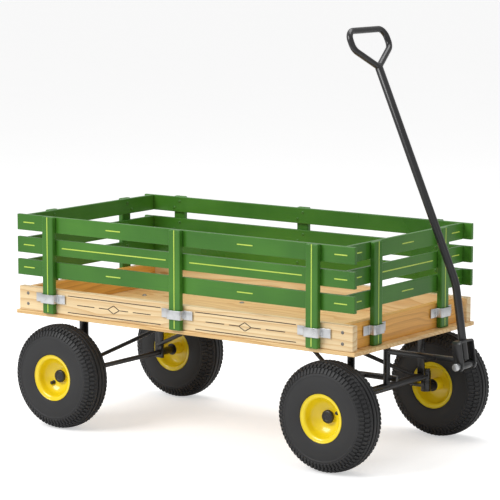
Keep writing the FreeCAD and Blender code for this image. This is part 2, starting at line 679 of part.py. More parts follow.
def make_knuckles():
    nut_z = SLEEVE_TOP + "post_end_gap"
    for name, side in (("left", 1), ("right", -1)):
        node(make_knuckle(side), f"knuckle_{name}")
        base = nut_z if side > 0 else LINK_BAR_Z + size("arm_gauge") / 2
        nut = hexagon(size("kingpin_diameter") * 1.5, "kingpin_nut_height", FRONT_X,
                      KINGPIN_Y * side, base)
        hole = cylinder("kingpin_diameter", "kingpin_nut_height", FRONT_X, KINGPIN_Y * side, base)
        node(cut(nut, hole), f"kingpin_nut_{name}")


# ---------------------------------------------------------------- wheels

def tyre_section():
    """Half section of the tyre, open towards the rim, with its shoulders still square."""
    crown = size("tyre_diameter") / 2
    half = size("tyre_width") / 2
    wall = size("tyre_wall")
    seat = size("rim_seat_diameter") / 2
    flange = size("rim_flange_diameter") / 2
    bead = size("rim_width") / 2 - "rim_gauge"
    return [
        (-bead, seat), (-bead, flange), (-half, flange + wall), (-half, crown), (half, crown),
        (half, flange + wall), (bead, flange), (bead, seat), (bead - wall, seat),
        (bead - wall, flange), (half - wall, flange + wall * 2), (half - wall, crown - wall),
        (wall - half, crown - wall), (wall - half, flange + wall * 2), (wall - bead, flange),
        (wall - bead, seat)]


def rim_section():
    """Half section of the pressed steel wheel: centre disc, two dished walls, seats and flanges."""
    gauge = size("rim_gauge")
    seat = size("rim_seat_diameter") / 2
    flange = size("rim_flange_diameter") / 2
    half = size("rim_width") / 2
    hub = size("hub_diameter") / 2
    dish = seat * 0.9
    bore = size("bush_diameter") / 2
    inboard = size("hub_inboard")
    outboard = size("hub_outboard")
    outer = [
        (outboard, bore), (outboard, hub), (gauge * 0.4, hub), (gauge * 0.6, hub + 6),
        (half * 0.5, dish - 1), (half * 0.62, seat - gauge), (half, seat - gauge),
        (half, flange), (half - gauge, flange), (half - gauge, seat), (half * 0.6, seat),
        (half * 0.44, dish), (-gauge, hub + 9)]
    inner = [
        (-half * 0.44, dish), (-half * 0.6, seat), (-half + gauge, seat), (-half + gauge, flange),
        (-half, flange), (-half, seat - gauge), (-half * 0.62, seat - gauge),
        (-half * 0.5, dish - 1), (-gauge * 2.6, hub + 6), (-gauge * 2.4, hub), (-inboard, hub),
        (-inboard, bore)]
    return outer + inner


def mirrored(points, side):
    """The section for a wheel on the other side, with its outer face the other way."""
    return [(size(a) * side, b) for a, b in points]


def make_tyre():
    """The tyre, with its outer shoulders rounded and the inside rounded to an even wall."""
    half = size("tyre_width") / 2
    crown = size("tyre_diameter") / 2

    def is_shoulder(edge):
        middle = edge.CenterOfMass
        return near(abs(middle.y), half) and near(edge.Curve.Radius, crown)

    def is_inside_shoulder(edge):
        middle = edge.CenterOfMass
        return near(abs(middle.y), half - "tyre_wall") and near(
            edge.Curve.Radius, crown - "tyre_wall")

    body, turn = turned(tyre_section())
    turn = round_corners(body, turn, is_shoulder, "tyre_shoulder")
    round_corners(body, turn, is_inside_shoulder, size("tyre_shoulder") - "tyre_wall")
    return body


def make_wheel(name, x, side):
    y = HALF_TRACK * side
    node(place(make_tyre(), x, y, AXLE_Z), f"{name}_tyre")
    body, _ = turned(mirrored(rim_section(), side))
    body = place(body, x, y, AXLE_Z)
    out = "+y" if side > 0 else "-y"
    inward = "-y" if side > 0 else "+y"
    valve_x = x + size("valve_radius") * trig("cos", VALVE_TURN[name])
    valve_z = AXLE_Z + size("valve_radius") * trig("sin", VALVE_TURN[name])
    hole = cylinder("valve_diameter", "rim_width", valve_x, y - size("rim_width") / 2 * side,
                    valve_z, out)
    node(cut(body, hole), f"{name}_rim")

    bushes = []
    bore = size("axle_diameter") + size("running_gap") * 2
    for face, away, back in ((size("hub_outboard"), out, -1), (-size("hub_inboard"), inward, 1)):
        start = y + face * side
        flange = cylinder("hub_diameter", "bush_flange", x, start, AXLE_Z, away)
        sleeve = cylinder("bush_diameter", "bush_length", x, start, AXLE_Z,
                          inward if away == out else out)
        through = cylinder(bore, size("bush_length") + "bush_flange", x,
                           start - size("bush_length") * (side if away == out else -side),
                           AXLE_Z, away)
        bushes.append(cut(fuse(flange, sleeve), through))
    node(group(bushes), f"{name}_bushings")

    cap_y = y + (size("hub_outboard") + "bush_flange") * side
    shell = cone("cap_diameter", size("cap_diameter") * 0.8, "cap_depth", x, cap_y, AXLE_Z, out)
    room = cylinder(size("cap_diameter") * 0.6, size("cap_depth") * 0.6, x, cap_y, AXLE_Z, out)
    valve_y = y - size("rim_gauge") * side
    stem = fuse(cylinder("valve_diameter", "valve_length", valve_x, valve_y, valve_z, out),
                cone(size("valve_diameter") * 1.5, "valve_diameter", size("valve_length") * 0.3,
                     valve_x, y + size("rim_gauge") * side, valve_z, out))
    node(group([cut(shell, room), stem]), f"{name}_cap_and_valve")


def make_wheels():
    for end, x in (("front", FRONT_X), ("rear", REAR_X)):
        for hand, side in (("left", 1), ("right", -1)):
            make_wheel(f"{end}_{hand}", x, side)


# ---------------------------------------------------------------- handle

LEAN = FreeCAD.Rotation(V(0, 1, 0), -SIZES["shaft_lean"])
TOP_LEAN = FreeCAD.Rotation(V(0, 1, 0), -SIZES["shaft_lean"] - SIZES["shaft_turn"])


def lean(thing, angle):
    """Tilt a piece back, towards the bed, by a bound angle."""
    base = thing.Placement.Base
    thing.Placement = FreeCAD.Placement(base, FreeCAD.Rotation(V(0, -1, 0), SIZES[angle]))
    bind(thing, "Placement.Rotation.Angle", Size(f"({size(angle).text} * 1deg)",
                                                 size(angle).number))
    return thing


def make_handle():
    make_fork()
    make_shaft_and_grip()
    make_pivot_bolt()


def make_fork():
    inner = size("tongue_tube_length") / 2 + "fork_side_gap"
    gauge = size("fork_gauge")
    outer = inner + gauge
    height = size("fork_height")
    body = new_body("fork")
    sketch = outline(body, "YZ_Plane", [
        (-outer, 0), (-inner, 0), (-inner, height - gauge), (inner, height - gauge), (inner, 0),
        (outer, 0), (outer, height), (-outer, height)])
    bar = pad(body, sketch, "fork_width")

    def is_outer_bend(edge):
        middle = edge.CenterOfMass
        return near(abs(middle.y), outer) and near(middle.z, height)

    def is_inner_bend(edge):
        middle = edge.CenterOfMass
        return near(abs(middle.y), inner) and near(middle.z, height - gauge)

    bar = round_corners(body, bar, is_outer_bend, "fork_bend")
    round_corners(body, bar, is_inner_bend, size("fork_bend") - gauge)
    lean(place(body, PIVOT_X, size(0), PIVOT_Z), "shaft_lean")
    ends = [cylinder("fork_width", gauge, PIVOT_X, inner * side, PIVOT_Z, facing)
            for side, facing in ((1, "+y"), (-1, "-y"))]
    bore = cylinder(size("pivot_bolt_diameter") + size("running_gap") * 2, outer * 2, PIVOT_X,
                    -outer, PIVOT_Z, "+y")
    shaft_hole = lean(cylinder("shaft_diameter", height * 2, PIVOT_X, size(0), PIVOT_Z),
                      "shaft_lean")
    node(cut(fuse(body, *ends), bore, shaft_hole), "handle_fork")


def bent_rod(points, radii, diameter, closed):
    """A round rod swept along straight runs joined by tangent arcs."""
    edges = []
    count = len(points)
    corners = range(count) if closed else range(1, count - 1)
    arcs = {}
    for index in corners:
        here = points[index]
        before = (points[index - 1] - here).normalize()
        after = (points[(index + 1) % count] - here).normalize()
        half = before.getAngle(after) / 2
        step = radii[index] / math.tan(half)
        bisector = (before + after).normalize()
        middle = here + bisector * (radii[index] / math.sin(half) - radii[index])
        arcs[index] = (here + before * step, middle, here + after * step)
    for index in range(count if closed else count - 1):
        following = (index + 1) % count
        start = arcs[index][2] if index in arcs else points[index]
        end = arcs[following][0] if following in arcs else points[following]
        edges.append(Part.LineSegment(start, end).toShape())
        if following in arcs:
            edges.append(Part.Arc(*arcs[following]).toShape())
    wire = Part.Wire(edges)
    first = edges[0]
    start = first.Vertexes[0].Point
    heading = first.tangentAt(first.FirstParameter)
    circle = Part.Wire(Part.makeCircle(diameter / 2, start, heading))
    return wire.makePipeShell([circle], True, False)


def make_shaft_and_grip():
    lower = size("shaft_lower").number
    upper = size("shaft_upper").number
    low_way = LEAN.multVec(V(0, 0, 1))
    high_way = TOP_LEAN.multVec(V(0, 0, 1))
    base = low_way * size("shaft_foot").number
    bend = low_way * lower
    top = bend + high_way * upper
    shaft_shape = bent_rod([base, bend, top], {1: size("shaft_bend").number},
                           size("shaft_diameter").number, False)
    shaft = doc.addObject("Part::Feature", "shaft")
    shaft.Shape = shaft_shape
    place(shaft, PIVOT_X, size(0), PIVOT_Z)

    half = size("grip_half_width").number
    shoulder = size("grip_shoulder").number
    height = size("grip_height").number
    flat = [V(half, 0, height), V(half, 0, shoulder), V(0, 0, 0), V(-half, 0, shoulder),
            V(-half, 0, height)]
    quarter = FreeCAD.Rotation(V(0, 0, 1), 90)
    corners = [top + TOP_LEAN.multVec(quarter.multVec(point)) for point in flat]
    bend_radius = size("grip_bend").number
    foot_radius = size("grip_foot_bend").number
    radii = {0: bend_radius, 1: bend_radius, 2: foot_radius, 3: bend_radius, 4: bend_radius}
    grip_shape = bent_rod(corners, radii, size("grip_rod").number, True)
    grip = doc.addObject("Part::Feature", "grip")
    grip.Shape = grip_shape
    place(grip, PIVOT_X, size(0), PIVOT_Z)
    node(grip, "handle_grip")
    node(cut(shaft, grip), "handle_shaft")


def make_pivot_bolt():
    outer = size("tongue_tube_length") / 2 + "fork_side_gap" + "fork_gauge"
    washer = size("fork_side_gap")
    spacer_y = outer + washer
    head_y = spacer_y + "spacer_height"
    spacer = cylinder(size("pivot_bolt_diameter") * 1.4, "spacer_height", PIVOT_X, -spacer_y,
                      PIVOT_Z, "-y")
    head = cylinder("bolt_head_diameter", "bolt_head_height", PIVOT_X, -head_y, PIVOT_Z, "-y")
    tail = outer + washer * 2 + "nut_height"
    shank = cylinder("pivot_bolt_diameter", head_y + tail, PIVOT_X, -head_y, PIVOT_Z, "+y")
    node(fuse(spacer, head, shank), "pivot_bolt")
    nut = hexagon(size("pivot_bolt_diameter") * 1.6, "nut_height", PIVOT_X, spacer_y, PIVOT_Z, "+y")
    hole = cylinder("pivot_bolt_diameter", "nut_height", PIVOT_X, spacer_y, PIVOT_Z, "+y")
    node(cut(nut, hole), "pivot_nut")


# ---------------------------------------------------------------- build, check and write

make_bed()
make_clips()
make_racks()
make_rear_gear()
make_front_gear()
make_frame_bolts()
make_steering()
make_knuckles()
make_wheels()
make_handle()
doc.recompute()

for thing in doc.Objects:
    if {"Invalid", "Error"} & set(thing.State):
        raise RuntimeError(f"{thing.Label} failed: {thing.State}")
for piece in NODES:
    if piece.Shape.isNull() or not piece.Shape.isValid():
        raise RuntimeError(f"{piece.Label} has no valid shape")

os.makedirs("parts", exist_ok=True)
for piece in NODES:
    piece.Shape.exportStep(os.path.join("parts", f"{piece.Label}.step"))
    bounds = piece.Shape.BoundBox
    print(f"{piece.Label}: {len(piece.Shape.Solids)} solids, {piece.Shape.Volume:.0f} mm3, "
          f"x {bounds.XMin:.1f} {bounds.XMax:.1f}, y {bounds.YMin:.1f} {bounds.YMax:.1f}, "
          f"z {bounds.ZMin:.1f} {bounds.ZMax:.1f}")
print(len(NODES), "sub-parts")
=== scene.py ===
# %% [markdown]
# # A wooden pull wagon
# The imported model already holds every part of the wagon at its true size. This lesson dresses it:
# each part gets its finish, and the parts whose charm is in small forms are modelled again in
# detail, such as the lugged tyres, the dished wheels, the bent strap clips and the painted lines.

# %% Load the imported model
import bpy
import math
from mathutils import Matrix, Vector


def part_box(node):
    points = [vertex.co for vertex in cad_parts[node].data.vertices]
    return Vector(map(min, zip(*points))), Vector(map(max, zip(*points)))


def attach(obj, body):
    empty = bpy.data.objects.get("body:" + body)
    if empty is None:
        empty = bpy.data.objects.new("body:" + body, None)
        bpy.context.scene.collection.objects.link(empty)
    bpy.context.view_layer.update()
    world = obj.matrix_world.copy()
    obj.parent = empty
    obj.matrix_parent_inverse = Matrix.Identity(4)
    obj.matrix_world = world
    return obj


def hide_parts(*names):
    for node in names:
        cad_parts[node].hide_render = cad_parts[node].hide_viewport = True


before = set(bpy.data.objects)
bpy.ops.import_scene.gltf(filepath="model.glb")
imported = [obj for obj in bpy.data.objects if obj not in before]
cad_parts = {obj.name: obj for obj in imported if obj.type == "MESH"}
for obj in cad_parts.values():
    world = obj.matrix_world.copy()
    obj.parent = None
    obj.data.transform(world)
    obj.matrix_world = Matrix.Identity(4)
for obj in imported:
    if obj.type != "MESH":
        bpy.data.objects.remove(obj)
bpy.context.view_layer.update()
RACKS = ("left", "right", "front", "rear")
WHEELS = ("front_left", "front_right", "rear_left", "rear_right")
MM = 0.001
print("parts in the packed model:", len(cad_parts))

# %% [markdown]
# Every operator in Blender works on what is selected. A small set of helpers keeps that tidy: one
# clears the selection, one opens a piece for editing, and one closes it again.

# %% Helpers for selecting and editing


def clear_selection():
    if bpy.context.object and bpy.context.object.mode != "OBJECT":
        bpy.ops.object.mode_set(mode="OBJECT")
    bpy.ops.object.select_all(action="DESELECT")


def work_on(piece):
    """Make a piece the only one selected, and the active one."""
    clear_selection()
    piece.select_set(True)
    bpy.context.view_layer.objects.active = piece
    return piece


def open_for_editing(piece):
    work_on(piece)
    bpy.ops.object.mode_set(mode="EDIT")
    bpy.ops.mesh.select_mode(type="VERT")
    bpy.ops.mesh.select_all(action="SELECT")


def close_editing():
    bpy.ops.object.mode_set(mode="OBJECT")


def select_where(piece, test, kind="vertices"):
    """Select the vertices or edges of an open piece whose middle passes a test."""
    bpy.ops.mesh.select_all(action="DESELECT")
    bpy.ops.object.mode_set(mode="OBJECT")
    mesh = piece.data
    for part in getattr(mesh, kind):
        if kind == "vertices":
            middle = part.co
        else:
            middle = (mesh.vertices[part.vertices[0]].co + mesh.vertices[part.vertices[1]].co) / 2
        part.select = bool(test(middle))
    bpy.ops.object.mode_set(mode="EDIT")


def settle(piece):
    """Move a piece's place, turn and size into its mesh, so that its object sits at the origin."""
    work_on(piece)
    bpy.ops.object.transform_apply(location=True, rotation=True, scale=True)
    return piece


def apply_modifier(piece, kind, **values):
    work_on(piece)
    modifier = piece.modifiers.new(kind.title(), kind)
    for key, value in values.items():
        setattr(modifier, key, value)
    bpy.ops.object.modifier_apply(modifier=modifier.name)
    return piece


def smooth(piece, angle=35):
    work_on(piece)
    bpy.ops.object.shade_smooth_by_angle(angle=math.radians(angle))
    return piece


def copy_of(piece, name):
    """A copy with a mesh of its own."""
    twin = piece.copy()
    twin.data = piece.data.copy()
    twin.name = name
    bpy.context.scene.collection.objects.link(twin)
    return twin


def join(pieces, name):
    clear_selection()
    for piece in pieces:
        piece.select_set(True)
    bpy.context.view_layer.objects.active = pieces[0]
    if len(pieces) > 1:
        bpy.ops.object.join()
    joined = bpy.context.object
    joined.name = name
    return joined


def moved(piece, matrix):
    """Place a copy by a matrix, with the place kept in its mesh."""
    piece.data.transform(matrix)
    return piece


def finish_piece(piece, body, slot, material, *replaced):
    """Give a piece its finish, hang it on the body it rides on, and hide the plain parts it stands for."""
    piece.data.materials.clear()
    piece.data.materials.append(material)
    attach(piece, body)
    if replaced:
        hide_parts(*replaced)
    return piece


# %% [markdown]
# ## Finishes
# Two effects are shared by several finishes, so each is a node group with named sockets. One draws
# the grain of sawn wood. The other is the faint unevenness that every painted, plated or rubber
# surface has: slow clouds of tone, and a fine ripple that breaks up reflections.

# %% Helpers for materials


def new_material(name):
    material = bpy.data.materials.new(name)
    material.use_nodes = True
    nodes = material.node_tree.nodes
    nodes.clear()
    output = nodes.new("ShaderNodeOutputMaterial")
    shader = nodes.new("ShaderNodeBsdfPrincipled")
    material.node_tree.links.new(shader.outputs["BSDF"], output.inputs["Surface"])
    return material, shader


def add_node(tree, kind, settings=None, inputs=None):
    """A node with its settings, and its inputs set to values or linked to sockets."""
    node = tree.nodes.new(kind)
    for key, value in (settings or {}).items():
        setattr(node, key, value)
    for key, value in (inputs or {}).items():
        if isinstance(value, bpy.types.NodeSocket):
            tree.links.new(value, node.inputs[key])
        else:
            node.inputs[key].default_value = value
    return node


def blend_colours(tree, factor, first, second):
    """The colour between two, at a factor."""
    mix = tree.nodes.new("ShaderNodeMix")
    mix.data_type = "RGBA"
    for index, value in ((0, factor), (6, first), (7, second)):
        if isinstance(value, bpy.types.NodeSocket):
            tree.links.new(value, mix.inputs[index])
        else:
            mix.inputs[index].default_value = value
    return mix.outputs[2]


def spread(tree, value, low, high, out_low=0.0, out_high=1.0):
    """A value stretched from one range to another and held inside it."""
    node = add_node(tree, "ShaderNodeMapRange", None, {
        "Value": value, "From Min": low, "From Max": high, "To Min": out_low, "To Max": out_high})
    return node.outputs["Result"]


def maths(tree, operation, first, second=0.0):
    node = add_node(tree, "ShaderNodeMath", {"operation": operation}, {0: first, 1: second})
    return node.outputs[0]


def new_group(name, inputs, outputs):
    group = bpy.data.node_groups.new(name, "ShaderNodeTree")
    for socket, kind, value in inputs:
        made = group.interface.new_socket(name=socket, in_out="INPUT", socket_type=kind)
        if value is not None:
            made.default_value = value
    for socket, kind in outputs:
        group.interface.new_socket(name=socket, in_out="OUTPUT", socket_type=kind)
    entry = group.nodes.new("NodeGroupInput")
    leave = group.nodes.new("NodeGroupOutput")
    return group, entry.outputs, leave.inputs


def use_group(tree, group, inputs):
    node = tree.nodes.new("ShaderNodeGroup")
    node.node_tree = group
    for key, value in inputs.items():
        if isinstance(value, bpy.types.NodeSocket):
            tree.links.new(value, node.inputs[key])
        else:
            node.inputs[key].default_value = value
    return node.outputs


# %% [markdown]
# Sawn pine is a slice through a stack of growth rings. Rings round a pith line that runs along the
# board, bent by slow noise, give the arched figure on the face and the curved lines on the ends.
# Where a branch grew, the rings swell round a dark knot: a sparse Voronoi pattern places them. Much
# finer noise, stretched along the board, gives the pores.

# %% The grain group

grain_group, enter, leave = new_group(
    "Sawn grain",
    [("Along", "NodeSocketVector", None), ("Rings", "NodeSocketFloat", 1.0),
     ("Waviness", "NodeSocketFloat", 1.0)],
    [("Figure", "NodeSocketFloat"), ("Pores", "NodeSocketFloat"), ("Tone", "NodeSocketFloat"),
     ("Knot", "NodeSocketFloat")])
stretched = add_node(grain_group, "ShaderNodeMapping", None, {
    "Vector": enter["Along"], "Scale": (1.2, 9.0, 9.0)}).outputs["Vector"]
bend = add_node(grain_group, "ShaderNodeTexNoise", None, {
    "Vector": stretched, "Scale": 1.0, "Detail": 3.0, "Roughness": 0.5}).outputs["Color"]
offset = add_node(grain_group, "ShaderNodeVectorMath", {"operation": "SCALE"}, {
    0: bend, "Scale": enter["Waviness"]}).outputs["Vector"]
offset = add_node(grain_group, "ShaderNodeVectorMath", {"operation": "MULTIPLY"}, {
    0: offset, 1: (0.0, 0.09, 0.09)}).outputs["Vector"]
bent = add_node(grain_group, "ShaderNodeVectorMath", {"operation": "ADD"}, {
    0: enter["Along"], 1: offset}).outputs["Vector"]
slim = add_node(grain_group, "ShaderNodeMapping", None, {
    "Vector": bent, "Scale": (0.06, 1.0, 1.0)}).outputs["Vector"]
branch_space = add_node(grain_group, "ShaderNodeMapping", None, {
    "Vector": bent, "Scale": (4.4, 15.0, 15.0)}).outputs["Vector"]
from_branch = add_node(grain_group, "ShaderNodeTexVoronoi", None, {
    "Vector": branch_space, "Scale": 1.0}).outputs["Distance"]
knot = spread(grain_group, from_branch, 0.15, 0.09)
swell = maths(grain_group, "POWER", spread(grain_group, from_branch, 0.48, 0.0), 2.0)
ring_scale = maths(grain_group, "MULTIPLY", enter["Rings"], 22.0)
rings = add_node(grain_group, "ShaderNodeTexWave", {
    "wave_type": "RINGS", "rings_direction": "X", "wave_profile": "SAW"}, {
    "Vector": slim, "Scale": ring_scale, "Distortion": 1.2, "Detail": 2.0,
    "Phase Offset": maths(grain_group, "MULTIPLY", swell, 16.0)}).outputs["Fac"]
hair = add_node(grain_group, "ShaderNodeMapping", None, {
    "Vector": enter["Along"], "Scale": (6.0, 420.0, 420.0)}).outputs["Vector"]
pores = add_node(grain_group, "ShaderNodeTexNoise", None, {
    "Vector": hair, "Scale": 1.0, "Detail": 4.0, "Roughness": 0.65}).outputs["Fac"]
cloud = add_node(grain_group, "ShaderNodeMapping", None, {
    "Vector": enter["Along"], "Scale": (2.5, 14.0, 14.0)}).outputs["Vector"]
tone = add_node(grain_group, "ShaderNodeTexNoise", None, {
    "Vector": cloud, "Scale": 1.0, "Detail": 2.0}).outputs["Fac"]
for key, value in (("Figure", rings), ("Pores", pores), ("Tone", tone), ("Knot", knot)):
    grain_group.links.new(value, leave[key])
print("grain group:", len(grain_group.nodes), "nodes")

# %% [markdown]
# Real paint, plate and rubber are never one flat tone. Three noises at different scales give slow
# clouds, a fine ripple and rare specks, and each finish takes as much of each as it needs.

# %% The uneven surface group

uneven_group, enter, leave = new_group(
    "Uneven surface",
    [("Where", "NodeSocketVector", None), ("Cloud size", "NodeSocketFloat", 6.0),
     ("Ripple size", "NodeSocketFloat", 300.0)],
    [("Cloud", "NodeSocketFloat"), ("Ripple", "NodeSocketFloat"), ("Specks", "NodeSocketFloat")])
cloud = add_node(uneven_group, "ShaderNodeTexNoise", None, {
    "Vector": enter["Where"], "Scale": enter["Cloud size"], "Detail": 3.0}).outputs["Fac"]
ripple = add_node(uneven_group, "ShaderNodeTexNoise", None, {
    "Vector": enter["Where"], "Scale": enter["Ripple size"], "Detail": 2.0}).outputs["Fac"]
specks = add_node(uneven_group, "ShaderNodeTexNoise", None, {
    "Vector": enter["Where"], "Scale": 900.0, "Detail": 4.0, "Roughness": 0.7}).outputs["Fac"]
for key, value in (("Cloud", cloud), ("Ripple", ripple)):
    uneven_group.links.new(value, leave[key])
uneven_group.links.new(spread(uneven_group, specks, 0.62, 0.75), leave["Specks"])

# %% [markdown]
# An edge catches light because it is never quite sharp, and paint wears there first. The Bevel
# node's rounded normal differs from the true one only near an edge, so their difference is a mask.
# The finishes lighten their colour under it, partly as wear and partly as a painted highlight.

# %% The edge wear and painted highlight group

edge_wear_highlight_group, enter, leave = new_group(
    "Worn edge with painted highlight",
    [("Where", "NodeSocketVector", None), ("Reach", "NodeSocketFloat", 0.0015),
     ("Amount", "NodeSocketFloat", 1.0)],
    [("Edge", "NodeSocketFloat"), ("Normal", "NodeSocketVector")])
soft = add_node(edge_wear_highlight_group, "ShaderNodeBevel", {"samples": 4}, {"Radius": enter["Reach"]})
true_normal = edge_wear_highlight_group.nodes.new("ShaderNodeNewGeometry").outputs["Normal"]
alike = add_node(edge_wear_highlight_group, "ShaderNodeVectorMath", {"operation": "DOT_PRODUCT"}, {
    0: soft.outputs["Normal"], 1: true_normal}).outputs["Value"]
mask = spread(edge_wear_highlight_group, alike, 0.995, 0.86)
broken = add_node(edge_wear_highlight_group, "ShaderNodeTexNoise", None, {
    "Vector": enter["Where"], "Scale": 90.0, "Detail": 4.0}).outputs["Fac"]
mask = maths(edge_wear_highlight_group, "MULTIPLY", mask, spread(edge_wear_highlight_group, broken, 0.35, 0.7))
mask = maths(edge_wear_highlight_group, "MULTIPLY", mask, enter["Amount"])
edge_wear_highlight_group.links.new(mask, leave["Edge"])
edge_wear_highlight_group.links.new(soft.outputs["Normal"], leave["Normal"])

# %% [markdown]
# The bed is clear-varnished pine with darker late wood lines and the odd knot. Its sides are pale
# straw. The floor and the end boards are the same pine painted darker and more orange, amber and
# honey, as painted shade and warm bounced light. The floor's planks share one mesh, so
# their grain is shifted by plank number, and no figure runs on from one plank to the next.

# %% Pine, clear varnished

HALF_FLOOR = 0.261
PLANK_PITCH = 0.1045


def pine(name, turn, early, late, board_width=0.0):
    """Varnished pine whose grain runs along X before the turn about Z."""
    material, shader = new_material(name)
    tree = material.node_tree
    where = tree.nodes.new("ShaderNodeTexCoord").outputs["Object"]
    along = add_node(tree, "ShaderNodeMapping", None, {
        "Vector": where, "Rotation": (0.0, 0.0, turn)}).outputs["Vector"]
    if board_width:
        split = add_node(tree, "ShaderNodeSeparateXYZ", None, {0: along})
        number = maths(tree, "FLOOR", maths(tree, "DIVIDE", maths(
            tree, "ADD", split.outputs["Y"], HALF_FLOOR), board_width))
        shift = add_node(tree, "ShaderNodeTexWhiteNoise", {"noise_dimensions": "1D"}, {
            "W": number}).outputs["Color"]
        shift = add_node(tree, "ShaderNodeVectorMath", {"operation": "SCALE"}, {
            0: shift, "Scale": 1.7}).outputs["Vector"]
        along = add_node(tree, "ShaderNodeVectorMath", {"operation": "ADD"}, {
            0: along, 1: shift}).outputs["Vector"]
    grain = use_group(tree, grain_group, {"Along": along, "Rings": 1.0, "Waviness": 1.0})
    figure = spread(tree, grain["Figure"], 0.35, 1.0)
    figure = maths(tree, "POWER", figure, 1.6)
    base = blend_colours(tree, maths(tree, "MULTIPLY", figure, 0.72), early, late)
    tone = spread(tree, grain["Tone"], 0.3, 0.75)
    base = blend_colours(tree, maths(tree, "MULTIPLY", tone, 0.30), base, late)
    pores = spread(tree, grain["Pores"], 0.42, 0.75)
    dark = tuple(c * 0.45 for c in late[:3]) + (1.0,)
    base = blend_colours(tree, maths(tree, "MULTIPLY", pores, 0.30), base, dark)
    heart = blend_colours(tree, grain["Pores"], dark, late)
    base = blend_colours(tree, maths(tree, "MULTIPLY", grain["Knot"], 0.85), base, heart)
    # Along the edges the wood is lightened: partly wear, partly a painted highlight.
    edge = use_group(tree, edge_wear_highlight_group, {"Where": where, "Reach": 0.002, "Amount": 0.5})
    base = blend_colours(tree, edge["Edge"], base, tuple(min(1.0, c * 1.12) for c in early[:3])
                         + (1.0,))
    tree.links.new(base, shader.inputs["Base Color"])
    tree.links.new(spread(tree, grain["Pores"], 0.3, 0.8, 0.34, 0.52), shader.inputs["Roughness"])
    height = maths(tree, "ADD", maths(tree, "MULTIPLY", grain["Figure"], 0.35), grain["Pores"])
    bump = add_node(tree, "ShaderNodeBump", None, {
        "Height": height, "Strength": 0.18, "Distance": 0.0006, "Normal": edge["Normal"]})
    tree.links.new(bump.outputs["Normal"], shader.inputs["Normal"])
    shader.inputs["Coat Weight"].default_value = 0.25
    shader.inputs["Coat Roughness"].default_value = 0.22
    return material


STRAW = (0.88, 0.69, 0.40, 1.0)
LATE_WOOD = (0.60, 0.34, 0.12, 1.0)
# The end boards' honey is painted shade: the same pine, darker and more orange.
SHADED_HONEY = (0.90, 0.47, 0.09, 1.0)
SHADED_HONEY_LATE = (0.60, 0.26, 0.04, 1.0)
pine_long = pine("Pine along the bed", 0.0, STRAW, LATE_WOOD)
# The floor's amber is painted shade and bounced light: the same pine, darker and more orange.
SHADED_AMBER = (0.86, 0.60, 0.28, 1.0)
SHADED_AMBER_LATE = (0.56, 0.28, 0.07, 1.0)
pine_floor_shaded = pine("Pine floor planks, painted shade", 0.0, SHADED_AMBER, SHADED_AMBER_LATE, board_width=PLANK_PITCH)
pine_cross_shaded = pine("Pine across the bed, painted shade", math.pi / 2, SHADED_HONEY, SHADED_HONEY_LATE)

# %% [markdown]
# The racks are pine under semi-gloss green paint. The grain shows only as a faint ripple in the
# gloss, so it feeds the bump and barely touches the colour.

# %% Green paint over wood


def green_paint(name, turn):
    material, shader = new_material(name)
    tree = material.node_tree
    where = tree.nodes.new("ShaderNodeTexCoord").outputs["Object"]
    along = add_node(tree, "ShaderNodeMapping", None, {
        "Vector": where, "Rotation": turn}).outputs["Vector"]
    grain = use_group(tree, grain_group, {"Along": along, "Rings": 1.4, "Waviness": 0.8})
    skin = use_group(tree, uneven_group, {"Where": where, "Cloud size": 5.0, "Ripple size": 160.0})
    deep = (0.034, 0.140, 0.012, 1.0)
    fresh = (0.064, 0.215, 0.020, 1.0)
    base = blend_colours(tree, spread(tree, skin["Cloud"], 0.3, 0.7), deep, fresh)
    grey = (0.020, 0.100, 0.014, 1.0)
    base = blend_colours(tree, spread(tree, grain["Pores"], 0.5, 0.85, 0.0, 0.35), base, grey)
    edge = use_group(tree, edge_wear_highlight_group, {"Where": where, "Reach": 0.0022, "Amount": 0.55})
    # A lighter green along the edges: partly worn paint, partly a painted highlight.
    edge_wear_and_highlight = (0.13, 0.36, 0.08, 1.0)
    base = blend_colours(tree, edge["Edge"], base, edge_wear_and_highlight)
    tree.links.new(base, shader.inputs["Base Color"])
    tree.links.new(spread(tree, skin["Cloud"], 0.3, 0.7, 0.26, 0.36), shader.inputs["Roughness"])
    height = maths(tree, "ADD", maths(tree, "MULTIPLY", grain["Figure"], 0.5), maths(
        tree, "MULTIPLY", grain["Pores"], 0.8))
    height = maths(tree, "ADD", height, maths(tree, "MULTIPLY", skin["Ripple"], 0.3))
    bump = add_node(tree, "ShaderNodeBump", None, {
        "Height": height, "Strength": 0.14, "Distance": 0.0006, "Normal": edge["Normal"]})
    tree.links.new(bump.outputs["Normal"], shader.inputs["Normal"])
    shader.inputs["Specular IOR Level"].default_value = 0.35
    shader.inputs["Coat Weight"].default_value = 0.12
    shader.inputs["Coat Roughness"].default_value = 0.2
    return material


green_slats_long = green_paint("Green paint, side slats", (0.0, 0.0, 0.0))
green_slats_cross = green_paint("Green paint, end slats", (0.0, 0.0, math.pi / 2))
green_stakes = green_paint("Green paint, stakes", (0.0, math.pi / 2, 0.0))
